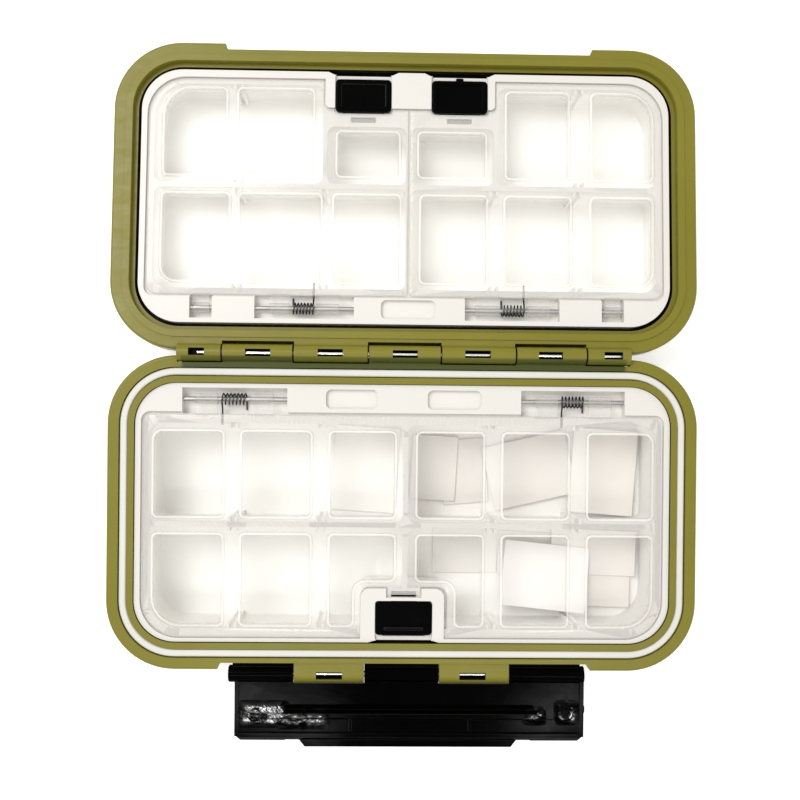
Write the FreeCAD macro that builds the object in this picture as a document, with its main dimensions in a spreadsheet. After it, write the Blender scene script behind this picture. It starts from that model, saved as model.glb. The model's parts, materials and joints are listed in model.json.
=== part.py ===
import FreeCAD, Part
import math
import os
import Sketcher

# Waterproof two-sided tackle case, modelled open and lying on a table.
# Frame: origin at the centre of the flat underside of the base, +X right,
# +Y towards the main hinge and the lid, +Z up. Millimetres.
# The base half stands on the table.  The lid half is modelled in its own
# frame (opening upwards, origin at the middle of its outer face) and is then
# placed beyond the main hinge, tipped so that its outer face meets the table.

V = FreeCAD.Vector
doc = FreeCAD.newDocument("TackleCase")
sheet = doc.addObject("Spreadsheet::Sheet", "Dims")

DIMS = [
    # outer shells
    ("case_width", 200.0), ("case_depth", 106.0), ("corner_radius", 23.2),
    ("base_height", 30.0), ("lid_height", 23.0),
    ("flange_height", 8.5), ("wall_inset", 6.9), ("cavity_inset", 9.1),
    ("floor_thickness", 2.4), ("bottom_fillet", 4.0), ("flange_fillet", 1.2),
    ("rim_fillet", 0.9), ("skirt_inset", 1.9), ("channel_depth", 4.4),
    ("panel_inset", 19.0), ("panel_depth", 0.6),
    # seal
    ("groove_outer", 3.9), ("groove_inner", 6.9), ("groove_depth", 2.8),
    ("gasket_gap", 0.22), ("gasket_height", 2.2), ("gasket_round", 0.7),
    ("tongue_outer", 4.15), ("tongue_inner", 6.5), ("tongue_height", 0.5),
    ("step_inset", 6.6), ("step_depth", 2.4),
    ("moat_inset", 8.0), ("moat_depth", 7.0),
    # latch recess
    ("recess_depth", 2.3), ("recess_left", 61.6), ("recess_right", 63.4),
    ("recess_slant", 1.2),
    # main hinge
    ("hinge_offset", 1.1), ("knuckle_radius", 2.9), ("hinge_pin_radius", 1.0),
    ("pin_clearance", 0.06), ("knuckle_gap", 0.15),
    ("knuckle_a", 12.3), ("knuckle_b", 37.6), ("knuckle_c", 61.6),
    ("knuckle_end", 76.6), ("notch_depth", 7.0),
    ("base_notch_radius", 3.35), ("lid_notch_radius", 4.05),
    ("gusset_drop", 6.3), ("window_width", 2.5),
    # latch
    ("latch_axis_y", 55.0), ("latch_axis_drop", 3.4), ("barrel_radius", 2.9),
    ("lug_inner", 12.8), ("lug_outer", 36.5), ("lug_gap", 0.2),
    ("latch_left", 58.8), ("latch_right", 62.4), ("plate_left", 56.6),
    ("plate_start", 3.2), ("plate_length", 22.6), ("lip_length", 24.8),
    ("lip_left", 35.0), ("lip_right", 39.8),
    ("plate_bottom", -1.0), ("plate_thickness", 1.5), ("plate_wall_top", 1.7),
    ("hook_start", 12.1), ("hook_width", 1.7), ("hook_top", 6.0),
    ("hook_bead", 0.3),
    # trays
    ("tray_inset", 9.25), ("base_tray_drop", 0.8), ("lid_tray_drop", 1.1),
    ("seat_depth", 1.5), ("tray_floor", 1.2),
    ("wall_x", 0.9), ("inner_wall", 1.6), ("side_x", 86.4),
    ("row_rear", 31.6), ("base_row_rear", 30.2), ("row_mid_rear", -3.2), ("row_mid_front", -4.9),
    ("row_front", -39.4), ("cell_radius", 2.6), ("corner_cell_radius", 11.0),
    ("cell_floor_fillet", 0.8),
    ("slot_one", -58.0), ("slot_two", -28.2), ("slot_three", 30.4),
    ("slot_four", 59.4), ("slot_width", 1.5), ("rib_width", 0.9),
    ("rib_reach", 1.6), ("lid_wall_left", -28.0), ("lid_wall_right", 31.2),
    ("lid_small_front", -25.0),
    ("strip_top_wall", 1.7),
    # cover hinges
    ("cover_axis_y", 38.4), ("cover_axis_drop", 2.2), ("cover_pin_radius", 0.75),
    ("cover_knuckle_radius", 1.75), ("pocket_rear", 42.2),
    ("pocket_front", 34.1), ("pocket_drop", 4.8), ("seat_rear", 34.8),
    ("base_pocket_front", 33.4), ("base_seat_rear", 34.1),
    ("seat_x", 88.8), ("seat_front", -42.5), ("lid_seat_front", -41.3),
    # covers
    ("cover_thickness", 1.2), ("cover_gap", 0.35), ("cover_rear", 34.0), ("base_cover_rear", 33.3),
    ("window_rise", 0.45), ("window_shell", 0.9),
    ("cover_front_radius", 12.7), ("cover_rear_radius", 3.8),
    # housing, button and catch
    ("housing_rear", -25.4), ("lid_rim_rear", -31.2), ("housing_half", 14.2), ("housing_radius", 3.0),
    ("button_half", 9.6), ("button_rear", -29.8), ("button_front", -41.2),
    ("button_proud", 0.4), ("button_plate", 1.7), ("button_clear", 0.15),
    ("button_travel", 1.5), ("button_radius", 1.3),
    ("stem_half", 7.2), ("stem_front", -35.8), ("stem_drop", 5.6),
    ("nose_half", 3.7), ("nose_tip", -27.75), ("nose_high", 2.9),
    ("nose_low", 4.2),
    ("well_front", -43.0), ("low_well_front", -41.7), ("well_drop", 6.3),
    ("slot_rear", -26.5), ("slot_half", 4.3), ("slot_front", -28.4),
    ("hook_rear", -26.8), ("hook_front", -27.6), ("hook_half", 3.9),
    ("hook_low", 5.3), ("barb_high", 4.3), ("barb_reach", -28.2),
    ("lid_button_left_x", -14.9), ("lid_button_right_x", 18.3),
    # loose divider plates
    ("divider_length", 30.6), ("divider_thickness", 1.1),
    ("base_divider_height", 23.2), ("lid_divider_height", 16.2),
]
VAL = {}
for row, (alias, value) in enumerate(DIMS, start=1):
    sheet.set("A%d" % row, alias.replace("_", " "))
    sheet.set("B%d" % row, str(value))
    sheet.setAlias("B%d" % row, alias)
doc.recompute()
for alias, value in DIMS:
    VAL[alias] = float(sheet.get(alias))


class Q:
    """A size: its value in millimetres and the sheet formula that gives it."""
    def __init__(self, value, text):
        self.v = float(value)
        self.e = text

    def __add__(self, o):
        o = q(o)
        return Q(self.v + o.v, "(%s + %s)" % (self.e, o.e))

    def __radd__(self, o):
        return q(o) + self

    def __sub__(self, o):
        o = q(o)
        return Q(self.v - o.v, "(%s - %s)" % (self.e, o.e))

    def __rsub__(self, o):
        return q(o) - self

    def __mul__(self, k):
        return Q(self.v * k, "(%s * %s)" % (self.e, repr(float(k))))

    __rmul__ = __mul__

    def __truediv__(self, k):
        return Q(self.v / k, "(%s / %s)" % (self.e, repr(float(k))))

    def __neg__(self):
        return Q(-self.v, "(0 - %s)" % self.e)


def q(x):
    if isinstance(x, Q):
        return x
    return Q(float(x), "%.6f" % float(x) if x >= 0 else "(0 - %.6f)" % -float(x))


def P(alias):
    return Q(VAL[alias], "Dims." + alias)


def plane(body, role):
    for feature in body.Origin.OriginFeatures:
        if feature.Role == role:
            return feature
    raise RuntimeError("no plane " + role)


class Sk:
    """A sketch on one of its body's own origin planes, fully constrained."""
    def __init__(self, body, name, role="XY_Plane", at=0.0):
        self.sk = body.newObject("Sketcher::SketchObject", name)
        self.sk.AttachmentSupport = [(plane(body, role), "")]
        self.sk.MapMode = "FlatFace"
        at = q(at)
        self.sk.AttachmentOffset = FreeCAD.Placement(V(0, 0, at.v), FreeCAD.Rotation())
        if "Dims." in at.e:
            self.sk.setExpression("AttachmentOffset.Base.z", at.e)
        self.geo = []
        self.con = []
        self.exp = []

    def _c(self, args, expr=None):
        self.con.append(Sketcher.Constraint(*args))
        if expr is not None:
            self.exp.append((len(self.con) - 1, expr))

    def _pos(self, axis, g, p, val):
        kind = "DistanceX" if axis == "x" else "DistanceY"
        if abs(val.v) < 1e-7:
            self._c(("PointOnObject", g, p, -2 if axis == "x" else -1))
        elif val.v > 0:
            self._c((kind, -1, 1, g, p, val.v), val.e)
        else:
            self._c((kind, g, p, -1, 1, -val.v), (-val).e)

    def rect(self, x0, x1, y0, y1, r=0.0):
        """Rectangle with corner radii r (one value or bl, br, tr, tl)."""
        x0, x1, y0, y1 = q(x0), q(x1), q(y0), q(y1)
        rs = [q(k) for k in (r if isinstance(r, (tuple, list)) else (r,) * 4)]
        corner = [(x0, y0), (x1, y0), (x1, y1), (x0, y1)]
        inx = [1, -1, -1, 1]
        iny = [1, 1, -1, -1]
        base = len(self.geo)
        pts_in, pts_out = [], []
        for k in range(4):
            cx, cy = corner[k][0].v, corner[k][1].v
            rv = rs[k].v
            if k % 2 == 0:
                pts_in.append(V(cx, cy + iny[k] * rv, 0))
                pts_out.append(V(cx + inx[k] * rv, cy, 0))
            else:
                pts_in.append(V(cx + inx[k] * rv, cy, 0))
                pts_out.append(V(cx, cy + iny[k] * rv, 0))
        order = []
        for k in range(4):
            nxt = (k + 1) % 4
            self.geo.append(Part.LineSegment(pts_out[k], pts_in[nxt]))
            order.append(("line", len(self.geo) - 1, k))
            if rs[nxt].v > 1e-6:
                cx = corner[nxt][0].v + inx[nxt] * rs[nxt].v
                cy = corner[nxt][1].v + iny[nxt] * rs[nxt].v
                a0 = {0: 180, 1: -90, 2: 0, 3: 90}[nxt]
                self.geo.append(Part.ArcOfCircle(
                    Part.Circle(V(cx, cy, 0), V(0, 0, 1), rs[nxt].v),
                    math.radians(a0), math.radians(a0 + 90)))
                order.append(("arc", len(self.geo) - 1, nxt))
        n = len(order)
        for i in range(n):
            a, b = order[i], order[(i + 1) % n]
            kind = "Coincident" if a[0] == b[0] == "line" else "Tangent"
            self._c((kind, a[1], 2, b[1], 1))
        for kind, g, k in order:
            if kind == "line":
                self._c(("Horizontal" if k % 2 == 0 else "Vertical", g))
                if k == 0:
                    self._pos("y", g, 1, y0)
                elif k == 1:
                    self._pos("x", g, 1, x1)
                elif k == 2:
                    self._pos("y", g, 1, y1)
                else:
                    self._pos("x", g, 1, x0)
            else:
                self._c(("Radius", g, rs[k].v), rs[k].e)
        return self

    def poly(self, pts):
        pts = [(q(a), q(b)) for a, b in pts]
        base = len(self.geo)
        n = len(pts)
        for i in range(n):
            a, b = pts[i], pts[(i + 1) % n]
            self.geo.append(Part.LineSegment(V(a[0].v, a[1].v, 0), V(b[0].v, b[1].v, 0)))
        for i in range(n):
            self._c(("Coincident", base + i, 2, base + (i + 1) % n, 1))
        for i in range(n):
            self._pos("x", base + i, 1, pts[i][0])
            self._pos("y", base + i, 1, pts[i][1])
        return self

    def circle(self, cx, cy, r):
        cx, cy, r = q(cx), q(cy), q(r)
        self.geo.append(Part.Circle(V(cx.v, cy.v, 0), V(0, 0, 1), r.v))
        g = len(self.geo) - 1
        self._c(("Radius", g, r.v), r.e)
        self._pos("x", g, 3, cx)
        self._pos("y", g, 3, cy)
        return self

    def close(self):
        self.sk.addGeometry(self.geo, False)
        self.sk.addConstraint(self.con)
        for index, expr in self.exp:
            if "Dims." in expr:
                self.sk.setExpression("Constraints[%d]" % index, expr)
        doc.recompute([self.sk])
        return self.sk


FAULTS = []


def grow(body, name, skt, length, back=False, taper=None):
    before = body.Tip.Shape.Volume if body.Tip is not None else 0.0
    feature = body.newObject("PartDesign::Pad", name)
    feature.Profile = skt.close()
    length = q(length)
    feature.Length = length.v
    if "Dims." in length.e:
        feature.setExpression("Length", length.e)
    feature.Reversed = back
    if taper is not None:
        feature.TaperAngle = taper
    body.Tip = feature
    doc.recompute()
    if feature.Shape.Volume < before + 1e-3:
        FAULTS.append("%s.%s added nothing" % (body.Label, name))
    return feature


def cut(body, name, skt, length, back=False, taper=None):
    before = body.Tip.Shape.Volume
    feature = body.newObject("PartDesign::Pocket", name)
    feature.Profile = skt.close()
    length = q(length)
    feature.Length = length.v
    if "Dims." in length.e:
        feature.setExpression("Length", length.e)
    feature.Reversed = back
    if taper is not None:
        feature.TaperAngle = taper
    body.Tip = feature
    doc.recompute()
    if feature.Shape.isNull() or feature.Shape.Volume > before - 1e-3:
        FAULTS.append("%s.%s cut nothing" % (body.Label, name))
    return feature


def edges(feature, test):
    names = []
    for i, e in enumerate(feature.Shape.Edges, start=1):
        pts = [e.valueAt(e.FirstParameter + (e.LastParameter - e.FirstParameter) * k / 4.0)
               for k in range(5)]
        if all(test(p) for p in pts):
            names.append("Edge%d" % i)
    return names


def round_off(body, name, test, radius, chamfer=False):
    base = body.Tip
    names = edges(base, test)
    if not names:
        FAULTS.append("%s.%s found no edge" % (body.Label, name))
        return base
    kind = "PartDesign::Chamfer" if chamfer else "PartDesign::Fillet"
    feature = body.newObject(kind, name)
    feature.Base = (base, names)
    radius = q(radius)
    prop = "Size" if chamfer else "Radius"
    setattr(feature, prop, radius.v)
    if "Dims." in radius.e:
        feature.setExpression(prop, radius.e)
    body.Tip = feature
    doc.recompute()
    if feature.Shape.isNull() or "Invalid" in feature.State or "Error" in feature.State:
        FAULTS.append("%s.%s failed on %d edges" % (body.Label, name, len(names)))
    return feature


PARTS = []


def new_body(label):
    body = doc.addObject("PartDesign::Body", label)
    body.Label = label
    PARTS.append(body)
    return body


def near(a, b, tol=1e-3):
    return abs(a - b) < tol


HALF_W = P("case_width") / 2
HALF_D = P("case_depth") / 2
R_OUT = P("corner_radius")


def inset_rect(skt, inset):
    inset = q(inset)
    return skt.rect(-(HALF_W - inset), HALF_W - inset, -(HALF_D - inset), HALF_D - inset,
                    R_OUT - inset)


def ys(a, b, s):
    """Span a..b across the case, mirrored for the lid half (s = -1)."""
    a, b = q(a), q(b)
    return (a, b) if s > 0 else (-b, -a)


# ---------------------------------------------------------------- shells
def shell(body, height, s, is_base):
    """One outer half: tub, flange with seal, hinge knuckles and latch side.
    s = +1 puts the main hinge at +Y, s = -1 at -Y."""
    low = height - P("flange_height")
    grow(body, "tub", inset_rect(Sk(body, "tub_outline"), P("wall_inset")), height)
    round_off(body, "tub_bottom_round", lambda p: near(p.z, 0), P("bottom_fillet"))
    grow(body, "flange", inset_rect(Sk(body, "flange_outline", at=low), 0), P("flange_height"))
    in_out = lambda p: (abs(p.x) > HALF_W.v - 0.01 or abs(p.y) > HALF_D.v - 0.01
                        or math.hypot(abs(p.x) - (HALF_W - R_OUT).v, abs(p.y) - (HALF_D - R_OUT).v) > R_OUT.v - 0.01)
    round_off(body, "rim_round", lambda p: near(p.z, height.v) and in_out(p), P("rim_fillet"))
    round_off(body, "flange_under_round", lambda p: near(p.z, low.v) and in_out(p), P("flange_fillet"))
    # hollow under the flange, left solid at the latch and along the hinge
    ring = Sk(body, "channel_ring", at=low)
    inset_rect(ring, P("skirt_inset"))
    inset_rect(ring, P("wall_inset"))
    cut(body, "channel", ring, P("channel_depth"), back=True)
    fill = Sk(body, "channel_fill_outline", at=low)
    fill.rect(-P("recess_left") - 3.0, P("recess_right") + 3.0,
              *ys(-(HALF_D - 1.3), -(HALF_D - P("wall_inset") - 0.4), s))
    fill.rect(-P("knuckle_end") + 0.2, P("knuckle_end") - 0.2,
              *ys(HALF_D - P("wall_inset") - 0.4, HALF_D - 1.3, s))
    grow(body, "channel_fill", fill, P("channel_depth") + 0.2)
    webs = Sk(body, "web_outline", at=low + 0.6)
    for sx in (-1, 1):
        for y in (-24.0, -12.0, 0.0, 12.0, 24.0):
            a, b = HALF_W - P("wall_inset") - 0.3, HALF_W - P("skirt_inset") + 0.3
            webs.rect(a if sx > 0 else -b, b if sx > 0 else -a, q(y - 0.6), q(y + 0.6))
    grow(body, "channel_webs", webs, P("channel_depth") - 0.4)
    cut(body, "cavity", inset_rect(Sk(body, "cavity_outline", at=height), P("cavity_inset")),
        height - P("floor_thickness"))
    round_off(body, "cavity_floor_round",
              lambda p: near(p.z, VAL["floor_thickness"]), 1.5)
    # shallow panel in the outer face
    cut(body, "outer_panel", Sk(body, "panel_outline").rect(
        -(HALF_W - P("panel_inset")), HALF_W - P("panel_inset"),
        -(HALF_D - P("panel_inset")), HALF_D - P("panel_inset"), 8.0),
        P("panel_depth"), back=True)
    if is_base:
        ring = Sk(body, "groove_ring", at=height)
        inset_rect(ring, P("groove_outer"))
        inset_rect(ring, P("groove_inner"))
        cut(body, "gasket_groove", ring, P("groove_depth"))
    else:
        ring = Sk(body, "step_outline", at=height)
        inset_rect(ring, P("step_inset"))
        cut(body, "tray_step", ring, P("step_depth"))
        ring = Sk(body, "moat_outline", at=height)
        inset_rect(ring, P("moat_inset"))
        cut(body, "tray_moat", ring, P("moat_depth"))
        ring = Sk(body, "tongue_ring", at=height - 0.2)
        inset_rect(ring, P("tongue_outer"))
        inset_rect(ring, P("tongue_inner"))
        grow(body, "seal_tongue", ring, P("tongue_height") + 0.2)
    # latch recess across the flange
    rec = Sk(body, "recess_outline", at=height + 1.0)
    inner = HALF_D - P("recess_depth")
    y_in, y_out = (-inner, -(HALF_D + 1.0)) if s > 0 else (inner, HALF_D + 1.0)
    sl = P("recess_slant")
    rec.poly([(-P("recess_left"), y_in), (-P("recess_left") - sl, y_out),
              (P("recess_right") + sl, y_out), (P("recess_right"), y_in)])
    cut(body, "latch_recess", rec, P("flange_height") + 2.0)

    # main hinge knuckles: one long barrel and gusset, then the gaps
    ax_y = (HALF_D + P("hinge_offset")) if s > 0 else -(HALF_D + P("hinge_offset"))
    kr = P("knuckle_radius")
    ends = P("knuckle_c") - P("knuckle_gap") if is_base else P("knuckle_end")
    bar = Sk(body, "barrel_profile", "YZ_Plane", at=-ends)
    bar.circle(ax_y, height, kr)
    grow(body, "hinge_barrel", bar, ends * 2)
    g = Sk(body, "gusset_profile", "YZ_Plane", at=-ends)
    wall = (HALF_D - 1.2) if s > 0 else -(HALF_D - 1.2)
    outer = ax_y + (kr if s > 0 else -kr)
    g.poly([(wall, height - 0.2), (outer, height), (outer, height - 0.7),
            (HALF_D if s > 0 else -HALF_D, height - P("gusset_drop")),
            (wall, height - P("gusset_drop"))])
    grow(body, "hinge_gusset", g, ends * 2)
    reach = P("base_notch_radius") if is_base else P("lid_notch_radius")
    near_y = (ax_y - reach) if s > 0 else (ax_y + reach)
    far_y = (ax_y + 6.0) if s > 0 else (ax_y - 6.0)
    y0, y1 = (near_y, far_y) if s > 0 else (far_y, near_y)
    gap = Sk(body, "notch_outline", at=height + 4.0)
    a, b, c, d = P("knuckle_a"), P("knuckle_b"), P("knuckle_c"), P("knuckle_end")
    e = P("knuckle_gap")
    if is_base:
        for x0, x1 in ((a - e, b + e), (-b - e, -a + e), (c - e, d + e), (-d - e, -c + e)):
            gap.rect(x0, x1, y0, y1)
    else:
        for x0, x1 in ((-a - e, a + e), (b - e, c + e), (-c - e, -b + e)):
            gap.rect(x0, x1, y0, y1)
    cut(body, "knuckle_gaps", gap, P("notch_depth") + 4.0)
    bore = P("hinge_pin_radius") if is_base else P("hinge_pin_radius") + P("pin_clearance")
    hole = Sk(body, "pin_bore_profile", "YZ_Plane", at=-70.4)
    hole.circle(ax_y, height, bore)
    cut(body, "pin_bore", hole, 160.0, back=True)
    # windows over the pin, one in the top of each knuckle
    win = Sk(body, "pin_window_outline", at=height + 4.0)
    hw = P("window_width") / 2
    spans = ((-53.6, -45.2), (-4.1, 4.3), (45.2, 53.3)) if is_base else \
            ((-72.6, -67.3), (-29.3, -20.9), (20.3, 28.9), (67.4, 73.6))
    for x0, x1 in spans:
        win.rect(x0, x1, ax_y - hw, ax_y + hw)
    cut(body, "pin_windows", win, 4.9)
    if is_base:
        # lugs that carry the latch pin
        ly, lz = -P("latch_axis_y"), height - P("latch_axis_drop")
        br = P("barrel_radius")
        lug = Sk(body, "lug_profile", "YZ_Plane", at=-P("lug_outer"))
        lug.circle(ly, lz, br)
        grow(body, "lug_barrel", lug, P("lug_outer") * 2)
        arm = Sk(body, "lug_arm_profile", "YZ_Plane", at=-P("lug_outer"))
        arm.poly([(-(inner - 0.4), lz + br), (ly, lz + br), (ly, lz - br),
                  (-inner, low + 0.4), (-(inner - 0.4), low + 0.4)])
        grow(body, "lug_arm", arm, P("lug_outer") * 2)
        mid = Sk(body, "lug_gap_outline", at=height + 1.0)
        mid.rect(-P("lug_inner"), P("lug_inner"), q(-62), -inner)
        cut(body, "lug_gap", mid, 12.0)
        hole = Sk(body, "latch_bore_profile", "YZ_Plane", at=-38.0)
        hole.circle(ly, lz, P("hinge_pin_radius"))
        cut(body, "latch_bore", hole, 76.0, back=True)
        win = Sk(body, "lug_window_outline", at=height + 1.0)
        for x0, x1 in ((-29.0, -20.2), (19.7, 28.6)):
            win.rect(x0, x1, ly - 1.35, ly + 1.15)
        cut(body, "lug_windows", win, P("latch_axis_drop") + 1.9)
    else:
        # shallow groove behind the flange that the latch's hook drops into
        y0, y1 = (HALF_D - 4.3, HALF_D - 3.1)
        gr = Sk(body, "hook_groove_outline", at=low)
        gr.rect(q(-41.5), q(47.5), y0, y1)
        cut(body, "hook_groove", gr, 0.6, back=True)
    return body


base_shell = shell(new_body("base_shell"), P("base_height"), +1, True)
lid_shell = shell(new_body("lid_shell"), P("lid_height"), -1, False)

# ---------------------------------------------------------------- seal
base_gasket = new_body("base_gasket")
ring = Sk(base_gasket, "gasket_ring", at=P("base_height") - P("groove_depth"))
inset_rect(ring, P("groove_outer") + P("gasket_gap"))
inset_rect(ring, P("groove_inner") - P("gasket_gap"))
grow(base_gasket, "gasket_pad", ring, P("gasket_height"))
round_off(base_gasket, "gasket_round",
          lambda p: near(p.z, (P("base_height") - P("groove_depth") + P("gasket_height")).v),
          P("gasket_round"))

# ---------------------------------------------------------------- pins
AX_Y = (HALF_D + P("hinge_offset")).v
LATCH_Y = -VAL["latch_axis_y"]
LATCH_Z = VAL["base_height"] - VAL["latch_axis_drop"]


def pin(label, x0, x1, y, z, radius, frame=None):
    obj = doc.addObject("Part::Cylinder", label)
    obj.Label = label
    obj.setExpression("Radius", "Dims." + radius)
    obj.Height = x1 - x0
    place = FreeCAD.Placement(V(x0, y, z), FreeCAD.Rotation(V(0, 1, 0), 90))
    obj.Placement = frame.multiply(place) if frame is not None else place
    doc.recompute()
    PARTS.append(obj)
    return obj


hinge_pin = pin("hinge_pin", -69.9, 76.4, AX_Y, VAL["base_height"], "hinge_pin_radius")
latch_pin = pin("latch_pin", -56.3, 61.3, LATCH_Y, LATCH_Z, "hinge_pin_radius")

# ---------------------------------------------------------------- latch
# modelled in its own frame: pivot on the X axis, plate along -Y, inner face up
latch = new_body("latch")
br = P("barrel_radius")
bar = Sk(latch, "barrel_profile", "YZ_Plane", at=-P("latch_left"))
bar.circle(0, 0, br)
grow(latch, "barrel", bar, P("latch_left") + P("latch_right"))
heel = Sk(latch, "heel_profile", "YZ_Plane", at=-(P("latch_left") - 1.4))
heel.poly([(q(0.0), q(-0.5)), (q(3.75), q(-0.5)), (q(3.75), q(1.2)), (q(0.0), q(1.5))])
grow(latch, "heel", heel, P("latch_left") + P("latch_right") - 2.8)
z0, z1 = P("plate_bottom"), P("plate_bottom") + P("plate_thickness")
pl = Sk(latch, "plate_outline", at=z0)
L, LL = P("plate_length"), P("lip_length")
pl.poly([(-P("plate_left"), 0), (-P("plate_left"), -(L - 1.6)), (-P("plate_left") + 1.9, -L),
         (-P("lip_left") - 4.6, -L), (-P("lip_left") - 3.4, -(L - 0.8)),
         (-P("lip_left") - 0.2, -(L - 0.8)), (-P("lip_left") + 2.2, -LL),
         (P("lip_right") - 2.2, -LL), (P("lip_right") + 0.2, -(L - 0.8)),
         (P("lip_right") + 3.4, -(L - 0.8)), (P("lip_right") + 4.6, -L),
         (P("latch_right") - 1.9, -L), (P("latch_right"), -(L - 1.6)), (P("latch_right"), 0)])
grow(latch, "plate", pl, P("plate_thickness"))
# raised border walls of the inner face
w = P("plate_wall_top") - z1
bd = Sk(latch, "border_outline", at=z1 - 0.1)
bd.rect(-P("plate_left"), -P("plate_left") + 1.3, -(L - 1.6), q(-2.0))
bd.rect(P("latch_right") - 1.3, P("latch_right"), -(L - 1.6), q(-2.0))
grow(latch, "border_walls", bd, w + 0.1)
toe = Sk(latch, "toe_profile", "YZ_Plane", at=-P("plate_left") + 1.9)
toe.poly([(-(L - 0.2), z0 + 0.4), (-(L - 2.6), z0 + 0.4), (-(L - 2.6), P("plate_wall_top")),
          (-(L - 1.2), P("plate_wall_top")), (-(L - 0.2), z1)])
grow(latch, "toe_band", toe, P("plate_left") + P("latch_right") - 3.8)
# hook that catches behind the lid's flange
hs, hw, ht = P("hook_start"), P("hook_width"), P("hook_top")
hk = Sk(latch, "hook_profile", "YZ_Plane", at=-40.0)
hk.poly([(-hs, z1 - 0.2), (-hs, ht - 0.9), (-(hs - P("hook_bead")), ht - 0.5), (-hs, ht),
         (-(hs + hw - 0.5), ht), (-(hs + hw), ht - 0.6), (-(hs + hw + 0.5), z1 - 0.2)])
grow(latch, "hook", hk, 86.0)
# stepped band between hook and toe, small stiffening ribs and two bosses
st = Sk(latch, "step_outline", at=z1 - 0.1)
st.rect(-P("plate_left") + 1.2, P("latch_right") - 1.2, q(-19.2), q(-15.4))
grow(latch, "step_band", st, 0.7)
pad = Sk(latch, "end_pad_outline", at=z1 - 0.1)
pad.rect(q(-53.9), q(-45.6), q(-17.2), q(-9.8), 0.8)
pad.rect(q(52.3), q(60.4), q(-17.2), q(-9.8), 0.8)
grow(latch, "end_pads", pad, 1.0)
rb = Sk(latch, "rib_outline", at=z1 - 0.1)
rb.rect(-17.9, -16.9, q(-19.0), q(-13.6))
rb.rect(22.8, 23.8, q(-19.0), q(-13.6))
grow(latch, "small_ribs", rb, 2.2)
pit = Sk(latch, "boss_pit_outline", at=z1 + 0.9)
pit.circle(-49.8, -13.5, 2.6)
pit.circle(56.4, -13.2, 2.6)
cut(latch, "boss_pits", pit, 0.85)
bs = Sk(latch, "boss_outline", at=z1 - 0.1)
bs.circle(-49.8, -13.5, 1.6)
bs.circle(56.4, -13.2, 1.6)
grow(latch, "bosses", bs, 1.5)
nib = Sk(latch, "edge_nib_outline", at=z0 + 0.2)
nib.rect(P("latch_right") - 0.3, P("latch_right") + 0.5, q(-13.0), q(-10.6), 0.3)
grow(latch, "edge_nib", nib, P("plate_thickness") - 0.2)
gap = Sk(latch, "lug_clearance_outline", at=4.0)
g = P("lug_gap")
for x0, x1 in ((-P("lug_outer") - g, -P("lug_inner") + g), (P("lug_inner") - g, P("lug_outer") + g)):
    gap.rect(x0, x1, -P("plate_start"), q(4.0))
cut(latch, "lug_clearance", gap, 8.0)
hole = Sk(latch, "bore_profile", "YZ_Plane", at=-56.4)
hole.circle(0, 0, P("hinge_pin_radius") + P("pin_clearance"))
cut(latch, "bore", hole, 120.0, back=True)
# finger lip, turned slightly outwards
lip = Sk(latch, "lip_profile", "YZ_Plane", at=-P("lip_left") + 2.4)
lip.poly([(-(LL - 2.6), z0 + 0.2), (-(LL - 0.6), z0 + 0.2), (-LL, z0 - 0.4), (-LL, z0 - 1.0),
          (-(LL - 1.0), z0 - 1.0), (-(LL - 2.6), z0 - 0.2)])
grow(latch, "finger_lip", lip, P("lip_left") + P("lip_right") - 4.8)
round_off(latch, "barrel_end_round",
          lambda p: near(math.hypot(p.y, p.z), br.v) and near(p.x, -P("latch_left").v), 0.5)
round_off(latch, "hook_tip_round", lambda p: near(p.z, ht.v) and near(p.y, -(hs + hw).v + 0.5), 0.25)
latch.Placement = FreeCAD.Placement(V(0, LATCH_Y, LATCH_Z), FreeCAD.Rotation())
latch.setExpression("Placement.Base.y", "0 - Dims.latch_axis_y")
latch.setExpression("Placement.Base.z", "Dims.base_height - Dims.latch_axis_drop")

# ---------------------------------------------------------------- layout of cells
COLS = [(-85.4, -60.3), (-55.8, -30.6), (-25.8, -2.0), (3.8, 28.0), (32.9, 57.0), (62.0, 85.6)]


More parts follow.
